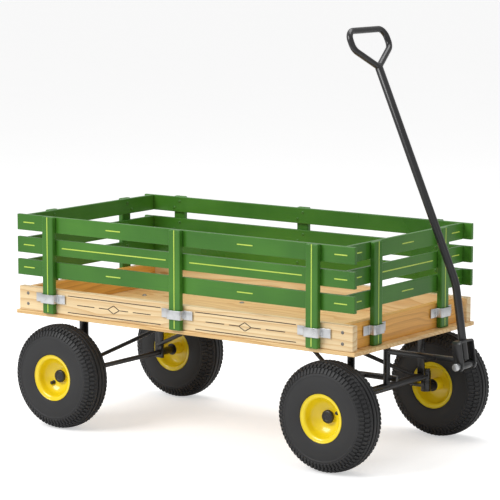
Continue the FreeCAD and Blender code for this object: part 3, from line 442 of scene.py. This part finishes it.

# %% [markdown]
# The metal and rubber finishes differ in colour, gloss and in how the surface is uneven: sprayed
# black and yellow paint have a slight orange peel, zinc plate is mottled and dulls where it has
# weathered, rubber is dull and dusty. Each also turns lighter along its edges, partly as wear and
# partly as a painted highlight.

# %% Paint, plate, rubber and moulded plastic


def plain_finish(name, base, other, highlight_and_speck_colour, rough, metallic=0.0, cloud=6.0, ripple=300.0,
                 bump_strength=0.08, edge_amount=0.4, coat=0.0, reach=0.001, specks=0.0):
    material, shader = new_material(name)
    tree = material.node_tree
    where = tree.nodes.new("ShaderNodeTexCoord").outputs["Object"]
    skin = use_group(tree, uneven_group, {
        "Where": where, "Cloud size": cloud, "Ripple size": ripple})
    colour = blend_colours(tree, spread(tree, skin["Cloud"], 0.32, 0.68), base, other)
    # Along the edges the colour turns lighter: partly wear, partly a painted highlight.
    edge = use_group(tree, edge_wear_highlight_group, {"Where": where, "Reach": reach, "Amount": edge_amount})
    colour = blend_colours(tree, edge["Edge"], colour, highlight_and_speck_colour)
    if specks:
        colour = blend_colours(tree, maths(tree, "MULTIPLY", skin["Specks"], specks), colour,
                               highlight_and_speck_colour)
    tree.links.new(colour, shader.inputs["Base Color"])
    shader.inputs["Metallic"].default_value = metallic
    tree.links.new(spread(tree, skin["Cloud"], 0.3, 0.7, rough[0], rough[1]),
                   shader.inputs["Roughness"])
    bump = add_node(tree, "ShaderNodeBump", None, {
        "Height": skin["Ripple"], "Strength": bump_strength, "Distance": 0.0004,
        "Normal": edge["Normal"]})
    tree.links.new(bump.outputs["Normal"], shader.inputs["Normal"])
    if coat:
        shader.inputs["Coat Weight"].default_value = coat
        shader.inputs["Coat Roughness"].default_value = 0.12
    return material


def rgb(red, green, blue):
    return (red, green, blue, 1.0)


black_paint = plain_finish("Black enamel", rgb(0.010, 0.010, 0.011), rgb(0.018, 0.018, 0.019),
                           rgb(0.09, 0.09, 0.095), (0.22, 0.34), coat=0.3, specks=0.1)
yellow_paint = plain_finish("Yellow enamel", rgb(0.92, 0.68, 0.010), rgb(0.95, 0.75, 0.016),
                            rgb(0.96, 0.82, 0.20), (0.20, 0.30), coat=0.35, edge_amount=0.25)
zinc_plate = plain_finish("Zinc plate", rgb(0.58, 0.59, 0.60), rgb(0.70, 0.71, 0.72),
                          rgb(0.85, 0.86, 0.87), (0.26, 0.42), metallic=0.85, cloud=70.0,
                          ripple=500.0, bump_strength=0.12)
dull_zinc = plain_finish("Dulled zinc", rgb(0.20, 0.19, 0.18), rgb(0.28, 0.27, 0.25),
                         rgb(0.50, 0.50, 0.50), (0.45, 0.60), metallic=0.7, cloud=70.0,
                         ripple=500.0, bump_strength=0.12)
rubber = plain_finish("Tyre rubber", rgb(0.013, 0.013, 0.014), rgb(0.022, 0.022, 0.023),
                      rgb(0.070, 0.070, 0.073), (0.46, 0.62), cloud=9.0, ripple=700.0,
                      bump_strength=0.18, edge_amount=0.35, specks=0.35)
black_plastic = plain_finish("Black moulding", rgb(0.012, 0.012, 0.013), rgb(0.020, 0.020, 0.021),
                             rgb(0.07, 0.07, 0.072), (0.34, 0.46), cloud=20.0)
lime_line = plain_finish("Lime line paint", rgb(0.52, 0.70, 0.08), rgb(0.60, 0.76, 0.12),
                         rgb(0.70, 0.82, 0.25), (0.32, 0.42), edge_amount=0.1)
brown_line = plain_finish("Brown line paint", rgb(0.035, 0.018, 0.010), rgb(0.050, 0.026, 0.014),
                          rgb(0.10, 0.06, 0.03), (0.35, 0.45), edge_amount=0.1)
print("finishes:", len(bpy.data.materials))

# %% [markdown]
# The planks, boards, slats and stakes already have their true shape, so they keep their packed
# meshes and only get a finish, with the grain along each piece.

# %% Give the wooden parts their finish

for node_name, material in (
        ("floor_planks", pine_floor_shaded), ("side_board_left", pine_long),
        ("side_board_right", pine_long), ("front_board", pine_cross_shaded), ("rear_board", pine_cross_shaded)):
    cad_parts[node_name].data.materials.clear()
    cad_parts[node_name].data.materials.append(material)
for rack in RACKS:
    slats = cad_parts[f"{rack}_rack_slats"]
    slats.data.materials.clear()
    slats.data.materials.append(green_slats_long if rack in ("left", "right")
                                else green_slats_cross)
    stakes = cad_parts[f"{rack}_rack_stakes"]
    stakes.data.materials.clear()
    stakes.data.materials.append(green_stakes)

# %% [markdown]
# ## Steel parts
# The welded steel parts have the right shape already, but their surfaces are flat facets. A copy of
# each is merged, its long soft surfaces are shaded smooth, and its sharp corners get a small bevel
# so that they catch the light like a painted edge. The pivot's bolt and nut are bright plate, and
# the bolts through the floor are dulled.

# %% Smooth the steel parts

STEEL_BEVEL = 0.0005
BUSHING_BEVEL = 0.0003

STEEL = {
    "chassis": ["rear_frame", "rear_axle", "rear_brace_left", "rear_brace_right", "axle_beam",
                "front_frame", "post_pin", "front_brace_left", "front_brace_right"],
    "steering": ["steering_post", "tongue"],
    "drag_link": ["drag_link"],
    "tie_rod": ["tie_rod"],
    "knuckle_left": ["knuckle_left", "kingpin_nut_left"],
    "knuckle_right": ["knuckle_right", "kingpin_nut_right", "steering_lever"],
    "handle": ["handle_fork", "handle_shaft", "handle_grip"],
}
BRIGHT = {"steering": ["pivot_bolt", "pivot_nut"]}
DULL = {"chassis": ["frame_bolts"]}


def smooth_part(node_name, bevel):
    part = copy_of(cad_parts[node_name], node_name + "_finished")
    part.parent = None
    for key in list(part.keys()):
        del part[key]
    open_for_editing(part)
    bpy.ops.mesh.remove_doubles(threshold=0.00001)
    bpy.ops.mesh.dissolve_limited(angle_limit=math.radians(1.0))
    close_editing()
    apply_modifier(part, "BEVEL", width=bevel, segments=2, limit_method="ANGLE",
                   angle_limit=math.radians(50))
    return smooth(part, 40)


for groups, slot_name, material in ((STEEL, "black_steel", black_paint),
                                    (BRIGHT, "zinc", zinc_plate), (DULL, "zinc", dull_zinc)):
    for body, names in groups.items():
        for node_name in names:
            part = smooth_part(node_name, STEEL_BEVEL)
            finish_piece(part, body, slot_name, material, node_name)
print("steel parts smoothed")

# %% [markdown]
# ## Turned parts
# A tyre, a wheel disc and a hub cap are all round, so each starts as half of its section: one
# vertex, extruded from corner to corner, then spun round the axle.

# %% Spin a section into a round part


def drawn_section(corners):
    """One vertex, extruded through a list of (across, out) corners in millimetres."""
    points = [Vector((0.0, across * MM, out * MM)) for across, out in corners]
    clear_selection()
    bpy.ops.mesh.primitive_plane_add(size=MM)
    piece = bpy.context.object
    open_for_editing(piece)
    bpy.ops.mesh.merge(type="CENTER")
    bpy.ops.transform.translate(value=points[0])
    for start, end in zip(points, points[1:]):
        bpy.ops.mesh.extrude_region_move(TRANSFORM_OT_translate={"value": end - start})
    return piece


def spun(corners, steps, name):
    """A closed section, spun right round the axle."""
    piece = drawn_section(corners + [corners[0]])
    bpy.ops.mesh.select_all(action="SELECT")
    bpy.ops.mesh.spin(steps=steps, angle=math.tau, center=(0, 0, 0), axis=(0, 1, 0))
    bpy.ops.mesh.select_all(action="SELECT")
    bpy.ops.mesh.remove_doubles(threshold=0.000005)
    bpy.ops.mesh.normals_make_consistent(inside=False)
    close_editing()
    piece.name = name
    return piece


def both_sides(half):
    """A section's other half, mirrored across the wheel's middle plane."""
    return half + [(-across, out) for across, out in reversed(half)]


# %% [markdown]
# The tyre's section runs from the bead, up a smooth side wall to a raised step, over the shoulder
# and across the tread, where narrow grooves run right round.

# %% The tyre's carcass

TYRE_STEPS = 144
tyre_half = [
    (30.0, 51.0), (35.5, 56.5), (36.5, 59.4), (37.4, 59.8), (38.2, 63.0), (39.3, 69.0),
    (39.9, 77.0), (40.0, 85.0), (39.6, 92.0), (38.5, 97.4), (38.5, 98.4), (39.3, 99.6),
    (39.1, 101.4), (37.7, 105.6), (34.9, 110.8), (31.1, 115.6), (26.8, 119.5), (22.4, 122.6),
    (19.8, 124.2), (19.0, 126.2), (14.4, 128.5), (13.6, 128.1), (13.2, 124.8), (10.4, 125.2),
    (10.0, 129.1), (9.2, 129.5), (2.6, 130.0), (1.9, 129.6), (1.5, 126.0)]
tyre = spun(both_sides(tyre_half), TYRE_STEPS, "tyre_pattern")
print("carcass faces:", len(tyre.data.polygons))

# %% [markdown]
# Rows of lugs grip soft ground. One lug is a small block, tapered towards its top, laid on the
# shoulder; the spin operator then repeats it round the axle, and a second row sits half a step on.

# %% The tyre's lugs

LUG_COUNT = 72


def lug_row(across, out, tilt, size, start, taper):
    """A ring of tapered blocks: size is (round the tyre, over the shoulder, height) in mm."""
    clear_selection()
    bpy.ops.mesh.primitive_cube_add(size=1.0)
    lug = bpy.context.object
    open_for_editing(lug)
    bpy.ops.transform.resize(value=tuple(s * MM for s in size))
    select_where(lug, lambda middle: middle.z > 0)
    bpy.ops.transform.resize(value=(taper, 0.86, 1.0))
    open_for_editing(lug)
    bpy.ops.transform.rotate(value=-math.radians(tilt), orient_axis="X",
                             center_override=(0, 0, 0))
    bpy.ops.transform.translate(value=(0.0, across * MM, out * MM))
    bpy.ops.transform.rotate(value=start, orient_axis="Y", center_override=(0, 0, 0))
    bpy.ops.mesh.spin(steps=LUG_COUNT - 1, dupli=True, center=(0, 0, 0), axis=(0, 1, 0),
                      angle=math.tau * (LUG_COUNT - 1) / LUG_COUNT)
    close_editing()
    return lug


half_step = math.pi / LUG_COUNT
lugs = []
for side in (1, -1):
    lugs.append(lug_row(34.9 * side, 110.6, -60 * side, (6.6, 15.0, 4.6), half_step * (side > 0),
                        0.72))
    lugs.append(lug_row(26.6 * side, 120.3, -41 * side, (7.4, 11.5, 5.2),
                        half_step * (side < 0), 0.78))
    lugs.append(lug_row(18.4 * side, 125.6, -24 * side, (3.4, 6.4, 4.4), half_step * (side > 0),
                        0.8))
tyre = join([tyre] + lugs, "tyre_pattern")
open_for_editing(tyre)
bpy.ops.mesh.normals_make_consistent(inside=False)
close_editing()
smooth(tyre, 38)
reach = max(math.hypot(v.co.x, v.co.z) for v in tyre.data.vertices)
width = max(abs(v.co.y) for v in tyre.data.vertices) * 2
print(f"tyre: {reach * 2000:.1f} mm across, {width * 1000:.1f} mm wide")

# %% [markdown]
# The wheel is two pressed halves. From the outside it is a rolled lip, a short wall and a deep
# smooth dish that ends at the hub. Its other face is the same dish round a longer hub tube.

# %% The wheel disc

rim_wall = [
    (16.4, 43.6), (21.5, 45.2), (27.0, 46.0), (31.2, 46.8), (33.6, 48.8), (34.7, 52.0),
    (35.4, 55.0), (36.0, 56.1), (36.8, 56.3), (37.0, 56.9), (36.6, 57.4), (35.6, 57.5),
    (34.4, 56.4), (33.5, 53.0), (32.3, 50.8), (30.0, 49.6), (19.0, 49.0)]
outer_face = [
    (3.0, 11.2), (3.0, 14.4), (2.4, 15.0), (1.2, 15.2), (1.1, 17.5), (1.9, 22.0), (3.8, 28.0),
    (7.0, 34.5), (11.4, 40.0)]
inner_face = [
    (-11.4, 40.0), (-8.8, 34.5), (-7.2, 28.0), (-6.4, 22.0), (-6.1, 15.4), (-6.6, 15.0),
    (-33.4, 15.0), (-34.0, 14.4), (-34.0, 11.2)]
rim_section = outer_face + both_sides(rim_wall) + inner_face
RIM_STEPS = 96
rim = smooth(spun(rim_section, RIM_STEPS, "rim_pattern"), 50)

# %% [markdown]
# The hub cap is a pressed cup with a rolled edge, and the valve is a rubber stem with a screwed
# cap. Both are round, so they are spun like the tyre, from a section that meets the axis.

# %% The hub cap and the valve

CAP_STEPS = 48
VALVE_STEPS = 24

cap = smooth(spun([
    (5.0, 0.0), (5.0, 15.9), (7.6, 15.9), (9.6, 15.2), (11.0, 13.6), (11.8, 11.2), (11.9, 9.6),
    (11.3, 8.8), (10.9, 8.2), (10.9, 4.2), (11.4, 3.6), (11.5, 0.0)], CAP_STEPS,
    "cap_pattern"), 32)
valve = smooth(spun([
    (-2.5, 0.0), (-2.5, 5.6), (4.4, 6.0), (5.0, 5.0), (5.4, 4.1), (7.6, 3.7), (7.8, 2.9),
    (8.2, 4.3), (8.8, 4.5), (12.2, 4.5), (13.2, 3.9), (14.0, 2.4), (14.0, 0.0)], VALVE_STEPS,
    "valve_pattern"), 32)
print("turned parts:", [len(p.data.polygons) for p in (tyre, rim, cap, valve)])

# %% [markdown]
# Each wheel gets its own copies. The pattern's outer face looks along +Y, so the wheels on the
# right are turned half round about Z. The valves stand at whatever angle the wheel stopped.

# %% Put the wheels on

VALVE_RADIUS = 0.030
VALVE_ANGLE = {"front_right": 24, "rear_right": 219, "front_left": 100, "rear_left": 300}
for wheel in WHEELS:
    low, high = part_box(f"{wheel}_tyre")
    centre = (low + high) / 2
    side = 1 if centre.y > 0 else -1
    put = Matrix.Translation(centre) @ Matrix.Rotation(0 if side > 0 else math.pi, 4, "Z")
    body = f"{wheel}_wheel"
    finish_piece(moved(copy_of(tyre, f"{wheel}_lugged_tyre"), put), body, "tyre", rubber,
                 f"{wheel}_tyre")
    finish_piece(moved(copy_of(rim, f"{wheel}_dished_wheel"), put), body, "yellow_steel",
                 yellow_paint, f"{wheel}_rim")
    finish_piece(moved(copy_of(cap, f"{wheel}_hub_cap"), put), body, "black_plastic",
                 black_plastic, f"{wheel}_cap_and_valve")
    angle = math.radians(VALVE_ANGLE[wheel])
    stem_place = Matrix.Translation(Vector((
        VALVE_RADIUS * math.cos(angle), 0.0, VALVE_RADIUS * math.sin(angle))))
    stem = moved(copy_of(valve, f"{wheel}_valve"), Matrix.Translation(centre) @ stem_place
                 @ Matrix.Rotation(0 if side > 0 else math.pi, 4, "Z"))
    finish_piece(stem, body, "black_plastic", black_plastic)
    bush = smooth_part(f"{wheel}_bushings", BUSHING_BEVEL)
    finish_piece(bush, body, "black_plastic", black_plastic, f"{wheel}_bushings")
for pattern in (tyre, rim, cap, valve):
    bpy.data.objects.remove(pattern)
print("wheels on")

# %% [markdown]
# ## Strap clips and screws
# A clip is a strip of plated steel bent into a pocket round the stake's foot. It is drawn as a
# chain along its outer side, pulled up into a strip, rounded at its bends, then given thickness.

# %% Bend one strap clip

CLIP_HALF = 46.0
CLIP_POCKET = 19.8
CLIP_DEPTH = 17.2
CLIP_HEIGHT = 22.0
CLIP_GAUGE = 2.0
CLIP_BEND = 0.0034


def strap_clip():
    """Opens towards -Y, with the board's face at y = 0 and its middle at the origin."""
    chain = [(-CLIP_HALF, CLIP_GAUGE), (-CLIP_POCKET, CLIP_GAUGE), (-CLIP_POCKET, CLIP_DEPTH),
             (CLIP_POCKET, CLIP_DEPTH), (CLIP_POCKET, CLIP_GAUGE), (CLIP_HALF, CLIP_GAUGE)]
    points = [Vector((x * MM, y * MM, -CLIP_HEIGHT / 2 * MM)) for x, y in chain]
    clear_selection()
    bpy.ops.mesh.primitive_plane_add(size=MM)
    clip = bpy.context.object
    open_for_editing(clip)
    bpy.ops.mesh.merge(type="CENTER")
    bpy.ops.transform.translate(value=points[0])
    for start, end in zip(points, points[1:]):
        bpy.ops.mesh.extrude_region_move(TRANSFORM_OT_translate={"value": end - start})
    bpy.ops.mesh.select_all(action="SELECT")
    bpy.ops.mesh.extrude_region_move(
        TRANSFORM_OT_translate={"value": (0, 0, CLIP_HEIGHT * MM)})
    bpy.ops.mesh.select_mode(type="EDGE")

    def is_bend(middle):
        return abs(middle.z) < 0.001 and abs(abs(middle.x) - CLIP_POCKET * MM) < 0.0001

    select_where(clip, is_bend, "edges")
    bpy.ops.mesh.bevel(offset=CLIP_BEND, segments=4)
    close_editing()
    apply_modifier(clip, "SOLIDIFY", thickness=CLIP_GAUGE * MM, offset=-1.0)
    open_for_editing(clip)
    bpy.ops.mesh.normals_make_consistent(inside=False)
    close_editing()
    apply_modifier(clip, "BEVEL", width=0.0004, segments=2, limit_method="ANGLE",
                   angle_limit=math.radians(60))
    return smooth(clip, 35)


clip = strap_clip()
low_corner = Vector([min(v.co[i] for v in clip.data.vertices) for i in range(3)])
high_corner = Vector([max(v.co[i] for v in clip.data.vertices) for i in range(3)])
print("clip:", [round(v * 1000, 1) for v in low_corner], [round(v * 1000, 1) for v in high_corner])

# %% [markdown]
# The screws have a domed head with a cross recess. The dome is half a squashed sphere, and a cross
# of two small bars is cut out of it. One head is made, and copied wherever a screw stands.

# %% Make one screw head

HEAD_RADIUS = 0.0042
HEAD_FLATNESS = 0.42
RECESS_LEVEL = 0.0017
RECESS_BAR = (0.0042, 0.0009, 0.0016)


def screw_head():
    """A head with its seat at the origin, standing along +Z."""
    clear_selection()
    bpy.ops.mesh.primitive_uv_sphere_add(segments=20, ring_count=10, radius=HEAD_RADIUS)
    head = bpy.context.object
    open_for_editing(head)
    bpy.ops.mesh.bisect(plane_co=(0, 0, 0), plane_no=(0, 0, -1), clear_outer=True,
                        use_fill=True)
    bpy.ops.mesh.select_all(action="SELECT")
    bpy.ops.transform.resize(value=(1.0, 1.0, HEAD_FLATNESS), center_override=(0, 0, 0))
    close_editing()
    bars = []
    for turn in (0, math.pi / 2):
        bpy.ops.mesh.primitive_cube_add(size=1.0, location=(0, 0, RECESS_LEVEL),
                                        rotation=(0, 0, turn), scale=RECESS_BAR)
        bars.append(settle(bpy.context.object))
    for bar in bars:
        apply_modifier(head, "BOOLEAN", object=bar, operation="DIFFERENCE", solver="EXACT")
    for bar in bars:
        bpy.data.objects.remove(bar)
    head.name = "screw_pattern"
    return smooth(head, 40)


head = screw_head()
print("screw head faces:", len(head.data.polygons))

# %% [markdown]
# Clips, screws and lines all stand where the stakes and slats are. Their places are read once from
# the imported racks, so that everything laid on a rack follows its real size.

# %% Read where the stakes stand

SIDE_OUT = {"left": Vector((0, 1, 0)), "right": Vector((0, -1, 0)),
            "front": Vector((1, 0, 0)), "rear": Vector((-1, 0, 0))}
STAKE_WIDTH = 0.034
STAKE_DEPTH = 0.0144
SLAT_HEIGHT = 0.0395


def rack_facts(rack):
    """Outward direction, direction along the rack, stake places along it and the faces' planes."""
    out = SIDE_OUT[rack]
    along = Vector((1, 0, 0)) if out.y else Vector((0, 1, 0))
    low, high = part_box(f"{rack}_rack_stakes")
    first = low.dot(along) + STAKE_WIDTH / 2
    last = high.dot(along) - STAKE_WIDTH / 2
    places = [first, (first + last) / 2, last] if out.y else [first, last]
    corner = high if (out.x + out.y) > 0 else low
    stake_face = abs(corner.dot(out))
    slat_low, slat_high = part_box(f"{rack}_rack_slats")
    corner = slat_high if (out.x + out.y) > 0 else slat_low
    slat_face = abs(corner.dot(out))
    pitch = (slat_high.z - slat_low.z - SLAT_HEIGHT) / 2
    levels = [slat_low.z + SLAT_HEIGHT / 2 + pitch * k for k in range(3)]
    return {"out": out, "along": along, "places": places, "stake_face": stake_face,
            "slat_face": slat_face, "levels": levels, "ends": (slat_low.dot(along),
                                                              slat_high.dot(along)),
            "stake_z": (low.z, high.z)}


FACTS = {rack: rack_facts(rack) for rack in RACKS}


def sitting(point, out, spin=0.0):
    """A matrix that stands a pattern made along +Z on a point, facing outwards."""
    turn = Vector((0, 0, 1)).rotation_difference(out).to_matrix().to_4x4()
    return Matrix.Translation(point) @ turn @ Matrix.Rotation(spin, 4, "Z")


# %% [markdown]
# A clip wraps each stake's foot against its board, held by a screw in each wing. The screws are
# turned by hand on the real wagon, so no two recesses are left at the same angle.

# %% Fix the clips on

clip_low, clip_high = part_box("stake_clips")
clip_z = (clip_low.z + clip_high.z) / 2
clips = []
clip_heads = []
for rack in RACKS:
    facts = FACTS[rack]
    board_face = facts["stake_face"] - STAKE_DEPTH
    for index, place in enumerate(facts["places"]):
        spot = facts["along"] * place + facts["out"] * board_face + Vector((0, 0, clip_z))
        turn = {"left": 0, "right": math.pi, "front": -math.pi / 2, "rear": math.pi / 2}[rack]
        put = Matrix.Translation(spot) @ Matrix.Rotation(turn, 4, "Z")
        clips.append(moved(copy_of(clip, "clip"), put))
        for hand in (1, -1):
            point = (spot + facts["out"] * CLIP_GAUGE * MM
                     + facts["along"] * (CLIP_HALF + CLIP_POCKET) / 2 * MM * hand)
            clip_heads.append(moved(copy_of(head, "head"), sitting(
                point, facts["out"], 0.7 * index + hand)))
finish_piece(join(clips, "strap_clips"), "chassis", "zinc", zinc_plate, "stake_clips")
finish_piece(join(clip_heads, "strap_screw_heads"), "chassis", "zinc", zinc_plate, "clip_screws")
bpy.data.objects.remove(clip)

# %% [markdown]
# Each slat is held to each stake by two screws from inside, and they were painted over with the
# rack. The screws through the side boards into the end boards are bare and dulled.

# %% Screw the slats and boards

SLAT_THICKNESS = 0.0095
SLAT_SCREW_SHARE = 0.22
BOARD_SCREW_SHARES = (0.28, 0.72)

for rack in RACKS:
    facts = FACTS[rack]
    inner = facts["slat_face"] - SLAT_THICKNESS
    heads = []
    for index, place in enumerate(facts["places"]):
        for level, z in enumerate(facts["levels"]):
            for hand in (1, -1):
                point = (facts["along"] * (place + STAKE_WIDTH / 4 * hand
                                           * (facts["out"].x + facts["out"].y))
                         + facts["out"] * inner + Vector((0, 0, z + SLAT_SCREW_SHARE * SLAT_HEIGHT * hand)))
                heads.append(moved(copy_of(head, "head"), sitting(
                    point, -facts["out"], 0.9 * index + 0.4 * level + hand)))
    finish_piece(join(heads, f"{rack}_rack_screw_heads"), f"{rack}_rack", "green_wood",
                 green_stakes, f"{rack}_rack_screws")

heads = []
for board, out in (("side_board_left", 1), ("side_board_right", -1)):
    low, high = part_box(board)
    face = high.y if out > 0 else low.y
    for end in ("front_board", "rear_board"):
        end_low, end_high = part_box(end)
        for share in BOARD_SCREW_SHARES:
            point = Vector(((end_low.x + end_high.x) / 2, face,
                            low.z + (high.z - low.z) * share))
            heads.append(moved(copy_of(head, "head"), sitting(
                point, Vector((0, out, 0)), 2.0 * share + out)))
finish_piece(join(heads, "board_screw_heads"), "chassis", "zinc", dull_zinc, "board_screws")
bpy.data.objects.remove(head)
print("clips and screws fixed")

# %% [markdown]
# ## Painted lines
# The lime lines on the racks and the brown lines on the boards are drawn with a full brush, so each
# has round ends and stands a hair proud. A line starts as a small filled circle; one half of it is
# pulled along to the line's length, and the whole is given a thickness.

# %% Draw one painted line

LINE_THICK = 0.00022
LINE_SUNK = 0.00004


def painted_line(start, end, width, out):
    clear_selection()
    length = (end - start).length - width
    bpy.ops.mesh.primitive_circle_add(vertices=16, radius=width / 2, fill_type="NGON",
                                      rotation=(0, 0, math.pi / 16))
    line = settle(bpy.context.object)
    open_for_editing(line)
    select_where(line, lambda middle: middle.x > 0)
    bpy.ops.transform.translate(value=(length, 0, 0))
    bpy.ops.mesh.select_mode(type="FACE")
    bpy.ops.mesh.select_all(action="SELECT")
    bpy.ops.mesh.extrude_region_move(TRANSFORM_OT_translate={"value": (0, 0, LINE_THICK)})
    bpy.ops.transform.resize(value=(1.0 - 0.0002 / length, 0.85, 1.0))
    bpy.ops.mesh.select_all(action="SELECT")
    bpy.ops.mesh.normals_make_consistent(inside=False)
    close_editing()
    run = (end - start).normalized()
    across = out.cross(run)
    turn = Matrix((run, across, out)).transposed().to_4x4()
    return moved(line, Matrix.Translation(start + run * width / 2 - out * LINE_SUNK) @ turn)


# %% [markdown]
# Every stake has a line down its middle. Between two stakes the middle slat has a long line and the
# slats above and below it a short dash, and each slat's tip beyond the last stake has one more.

# %% Line the racks

LIME_WIDTH = 0.0030
SIDE_DASH = 0.046
END_DASH = 0.050
LONG_LINE_GAP = 0.018
TIP_DASH_HALF = 0.018
TIP_DASH_SHIFT = 0.008
STAKE_LINE_FOOT = 0.004
STAKE_LINE_TOP = 0.0005


def rack_lines(rack):
    facts = FACTS[rack]
    along, out = facts["along"], facts["out"]
    lines = []

    def line(a, b, z, z_end=None, face="slat_face"):
        depth = out * facts[face]
        start = along * a + depth + Vector((0, 0, z))
        end = along * b + depth + Vector((0, 0, z if z_end is None else z_end))
        lines.append(painted_line(start, end, LIME_WIDTH, out))

    low_z, high_z = facts["stake_z"]
    for place in facts["places"]:
        line(place, place, low_z + STAKE_LINE_FOOT, high_z - STAKE_LINE_TOP, "stake_face")
    bays = list(zip(facts["places"], facts["places"][1:]))
    dash = SIDE_DASH if out.y else END_DASH
    for near, far in bays:
        middle = (near + far) / 2
        for z in (facts["levels"][0], facts["levels"][2]):
            line(middle - dash / 2, middle + dash / 2, z)
        line(near + STAKE_WIDTH / 2 + LONG_LINE_GAP, far - STAKE_WIDTH / 2 - LONG_LINE_GAP,
             facts["levels"][1])
    for stake, tip in ((facts["places"][0], facts["ends"][0]),
                       (facts["places"][-1], facts["ends"][1])):
        way = 1 if tip > stake else -1
        middle = (stake + STAKE_WIDTH / 2 * way + tip) / 2 + TIP_DASH_SHIFT * way
        for z in facts["levels"]:
            line(middle - TIP_DASH_HALF, middle + TIP_DASH_HALF, z)
    return lines


for rack in RACKS:
    finish_piece(join(rack_lines(rack), f"{rack}_rack_lines"), f"{rack}_rack", None, lime_line)
print("rack lines drawn")

# %% [markdown]
# Each panel of a side board, between two clips, has a line near its top and its foot, and a plain
# lozenge between dashes in its middle. The ornament is measured out from the panel's middle.

# %% Line the boards

BROWN_WIDTH = 0.0023
PANEL_GAP = 0.052
TOP_LINE = 0.048
FOOT_LINE = 0.007
MIDDLE_LINE = 0.0275
LOZENGE_HALF_LENGTH = 0.018
LOZENGE_TOP = 0.0375
LOZENGE_FOOT = 0.0175
INNER_DASH_END = 0.046
OUTER_DASH = (0.060, 0.115)


def board_lines(board, out_sign):
    low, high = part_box(board)
    face = high.y if out_sign > 0 else low.y
    out = Vector((0, out_sign, 0))
    lines = []

    def line(a, b, z, z_end=None):
        start = Vector((a, face, low.z + z))
        end = Vector((b, face, low.z + (z if z_end is None else z_end)))
        lines.append(painted_line(start, end, BROWN_WIDTH, out))

    stakes = FACTS["left"]["places"]
    for near, far in zip(stakes, stakes[1:]):
        a, b = near + PANEL_GAP, far - PANEL_GAP
        line(a, b, TOP_LINE)
        line(a, b, FOOT_LINE)
        middle = (a + b) / 2
        for way in (1, -1):
            point = middle + way * LOZENGE_HALF_LENGTH
            line(middle + way * OUTER_DASH[0], middle + way * OUTER_DASH[1], MIDDLE_LINE)
            line(point, middle + way * INNER_DASH_END, MIDDLE_LINE)
            line(middle, point, LOZENGE_TOP, MIDDLE_LINE)
            line(middle, point, LOZENGE_FOOT, MIDDLE_LINE)
    return lines


for board, sign in (("side_board_left", 1), ("side_board_right", -1)):
    finish_piece(join(board_lines(board, sign), f"{board}_lines"), "chassis", None, brown_line)
print("board lines drawn")

# %% [markdown]
# ## Light, floor and camera
# A large soft lamp to the camera's left, one overhead, a weak one ahead of the wagon and a pale
# room give the even light of a studio. The floor and the room look brighter to the camera than the
# light they give, so that they end up white and the wagon isn't washed out.

# %% Stage and lights

FLOOR_SIZE = 90.0
FLOOR_GLOW = 0.50
clear_selection()
bpy.ops.mesh.primitive_grid_add(x_subdivisions=8, y_subdivisions=8, size=FLOOR_SIZE)
floor = bpy.context.object
floor.name = "studio_floor"
floor_paint, shader = new_material("Studio floor")
tree = floor_paint.node_tree
where = tree.nodes.new("ShaderNodeTexCoord").outputs["Object"]
mottle = add_node(tree, "ShaderNodeTexNoise", None, {"Vector": where, "Scale": 3.0}).outputs["Fac"]
tree.links.new(blend_colours(tree, mottle, rgb(0.86, 0.86, 0.86), rgb(0.88, 0.88, 0.88)),
               shader.inputs["Base Color"])
shader.inputs["Roughness"].default_value = 0.8
shader.inputs["Emission Color"].default_value = rgb(1.0, 1.0, 1.0)
seen = tree.nodes.new("ShaderNodeLightPath").outputs["Is Camera Ray"]
tree.links.new(maths(tree, "MULTIPLY", seen, FLOOR_GLOW), shader.inputs["Emission Strength"])
floor.data.materials.append(floor_paint)

ROOM_LIGHT = 0.50
ROOM_SEEN = 1.0
world = bpy.data.worlds.new("Pale room")
bpy.context.scene.world = world
world.use_nodes = True
room = world.node_tree.nodes["Background"]
room.inputs["Color"].default_value = rgb(1.0, 1.0, 1.0)
seen = world.node_tree.nodes.new("ShaderNodeLightPath").outputs["Is Camera Ray"]
world.node_tree.links.new(spread(world.node_tree, seen, 0.0, 1.0, ROOM_LIGHT, ROOM_SEEN),
                          room.inputs["Strength"])


def lamp(name, place, aim, size, power):
    light = bpy.data.lights.new(name, "AREA")
    light.shape = "RECTANGLE"
    light.size, light.size_y = size
    light.energy = power
    holder = bpy.data.objects.new(name, light)
    bpy.context.scene.collection.objects.link(holder)
    holder.location = place
    holder.rotation_euler = (Vector(aim) - Vector(place)).to_track_quat("-Z", "Y").to_euler()
    return holder


lamp("Key", (-1.6, -3.4, 3.0), (0.0, 0.0, 0.35), (2.4, 2.0), 120.0)
lamp("Fill", (3.6, -1.6, 2.0), (0.0, 0.0, 0.35), (1.8, 1.8), 5.0)
lamp("Top", (0.0, 0.6, 3.6), (0.0, 0.0, 0.3), (3.0, 2.0), 60.0)
bpy.context.scene.view_settings.view_transform = "Standard"

# %% [markdown]
# The camera stands well back with a long lens, so that the bed's sides stay nearly parallel. Its
# place is measured from the bed's middle.

# %% Camera

LENS = 173.1
EYE_AHEAD = 3.462
EYE_SIDE = -4.697
EYE_HEIGHT = 1.295
AZIMUTH = math.radians(36.2)
ELEVATION = math.radians(8.24)
bed_low, bed_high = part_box("floor_planks")
bed_middle = (bed_low.x + bed_high.x) / 2
eye = Vector((bed_middle + EYE_AHEAD, EYE_SIDE, EYE_HEIGHT))
aim = Vector((-math.sin(AZIMUTH) * math.cos(ELEVATION), math.cos(AZIMUTH) * math.cos(ELEVATION),
              -math.sin(ELEVATION)))
camera = bpy.data.objects.new("Camera", bpy.data.cameras.new("Camera"))
bpy.context.scene.collection.objects.link(camera)
camera.location = eye
camera.rotation_euler = aim.to_track_quat("-Z", "Y").to_euler()
camera.data.sensor_width = 36.0
camera.data.lens = LENS
camera.data.clip_end = 100.0
bpy.context.scene.camera = camera

# %% [markdown]
# Last, the selection is cleared.

# %% Clear the selection

clear_selection()
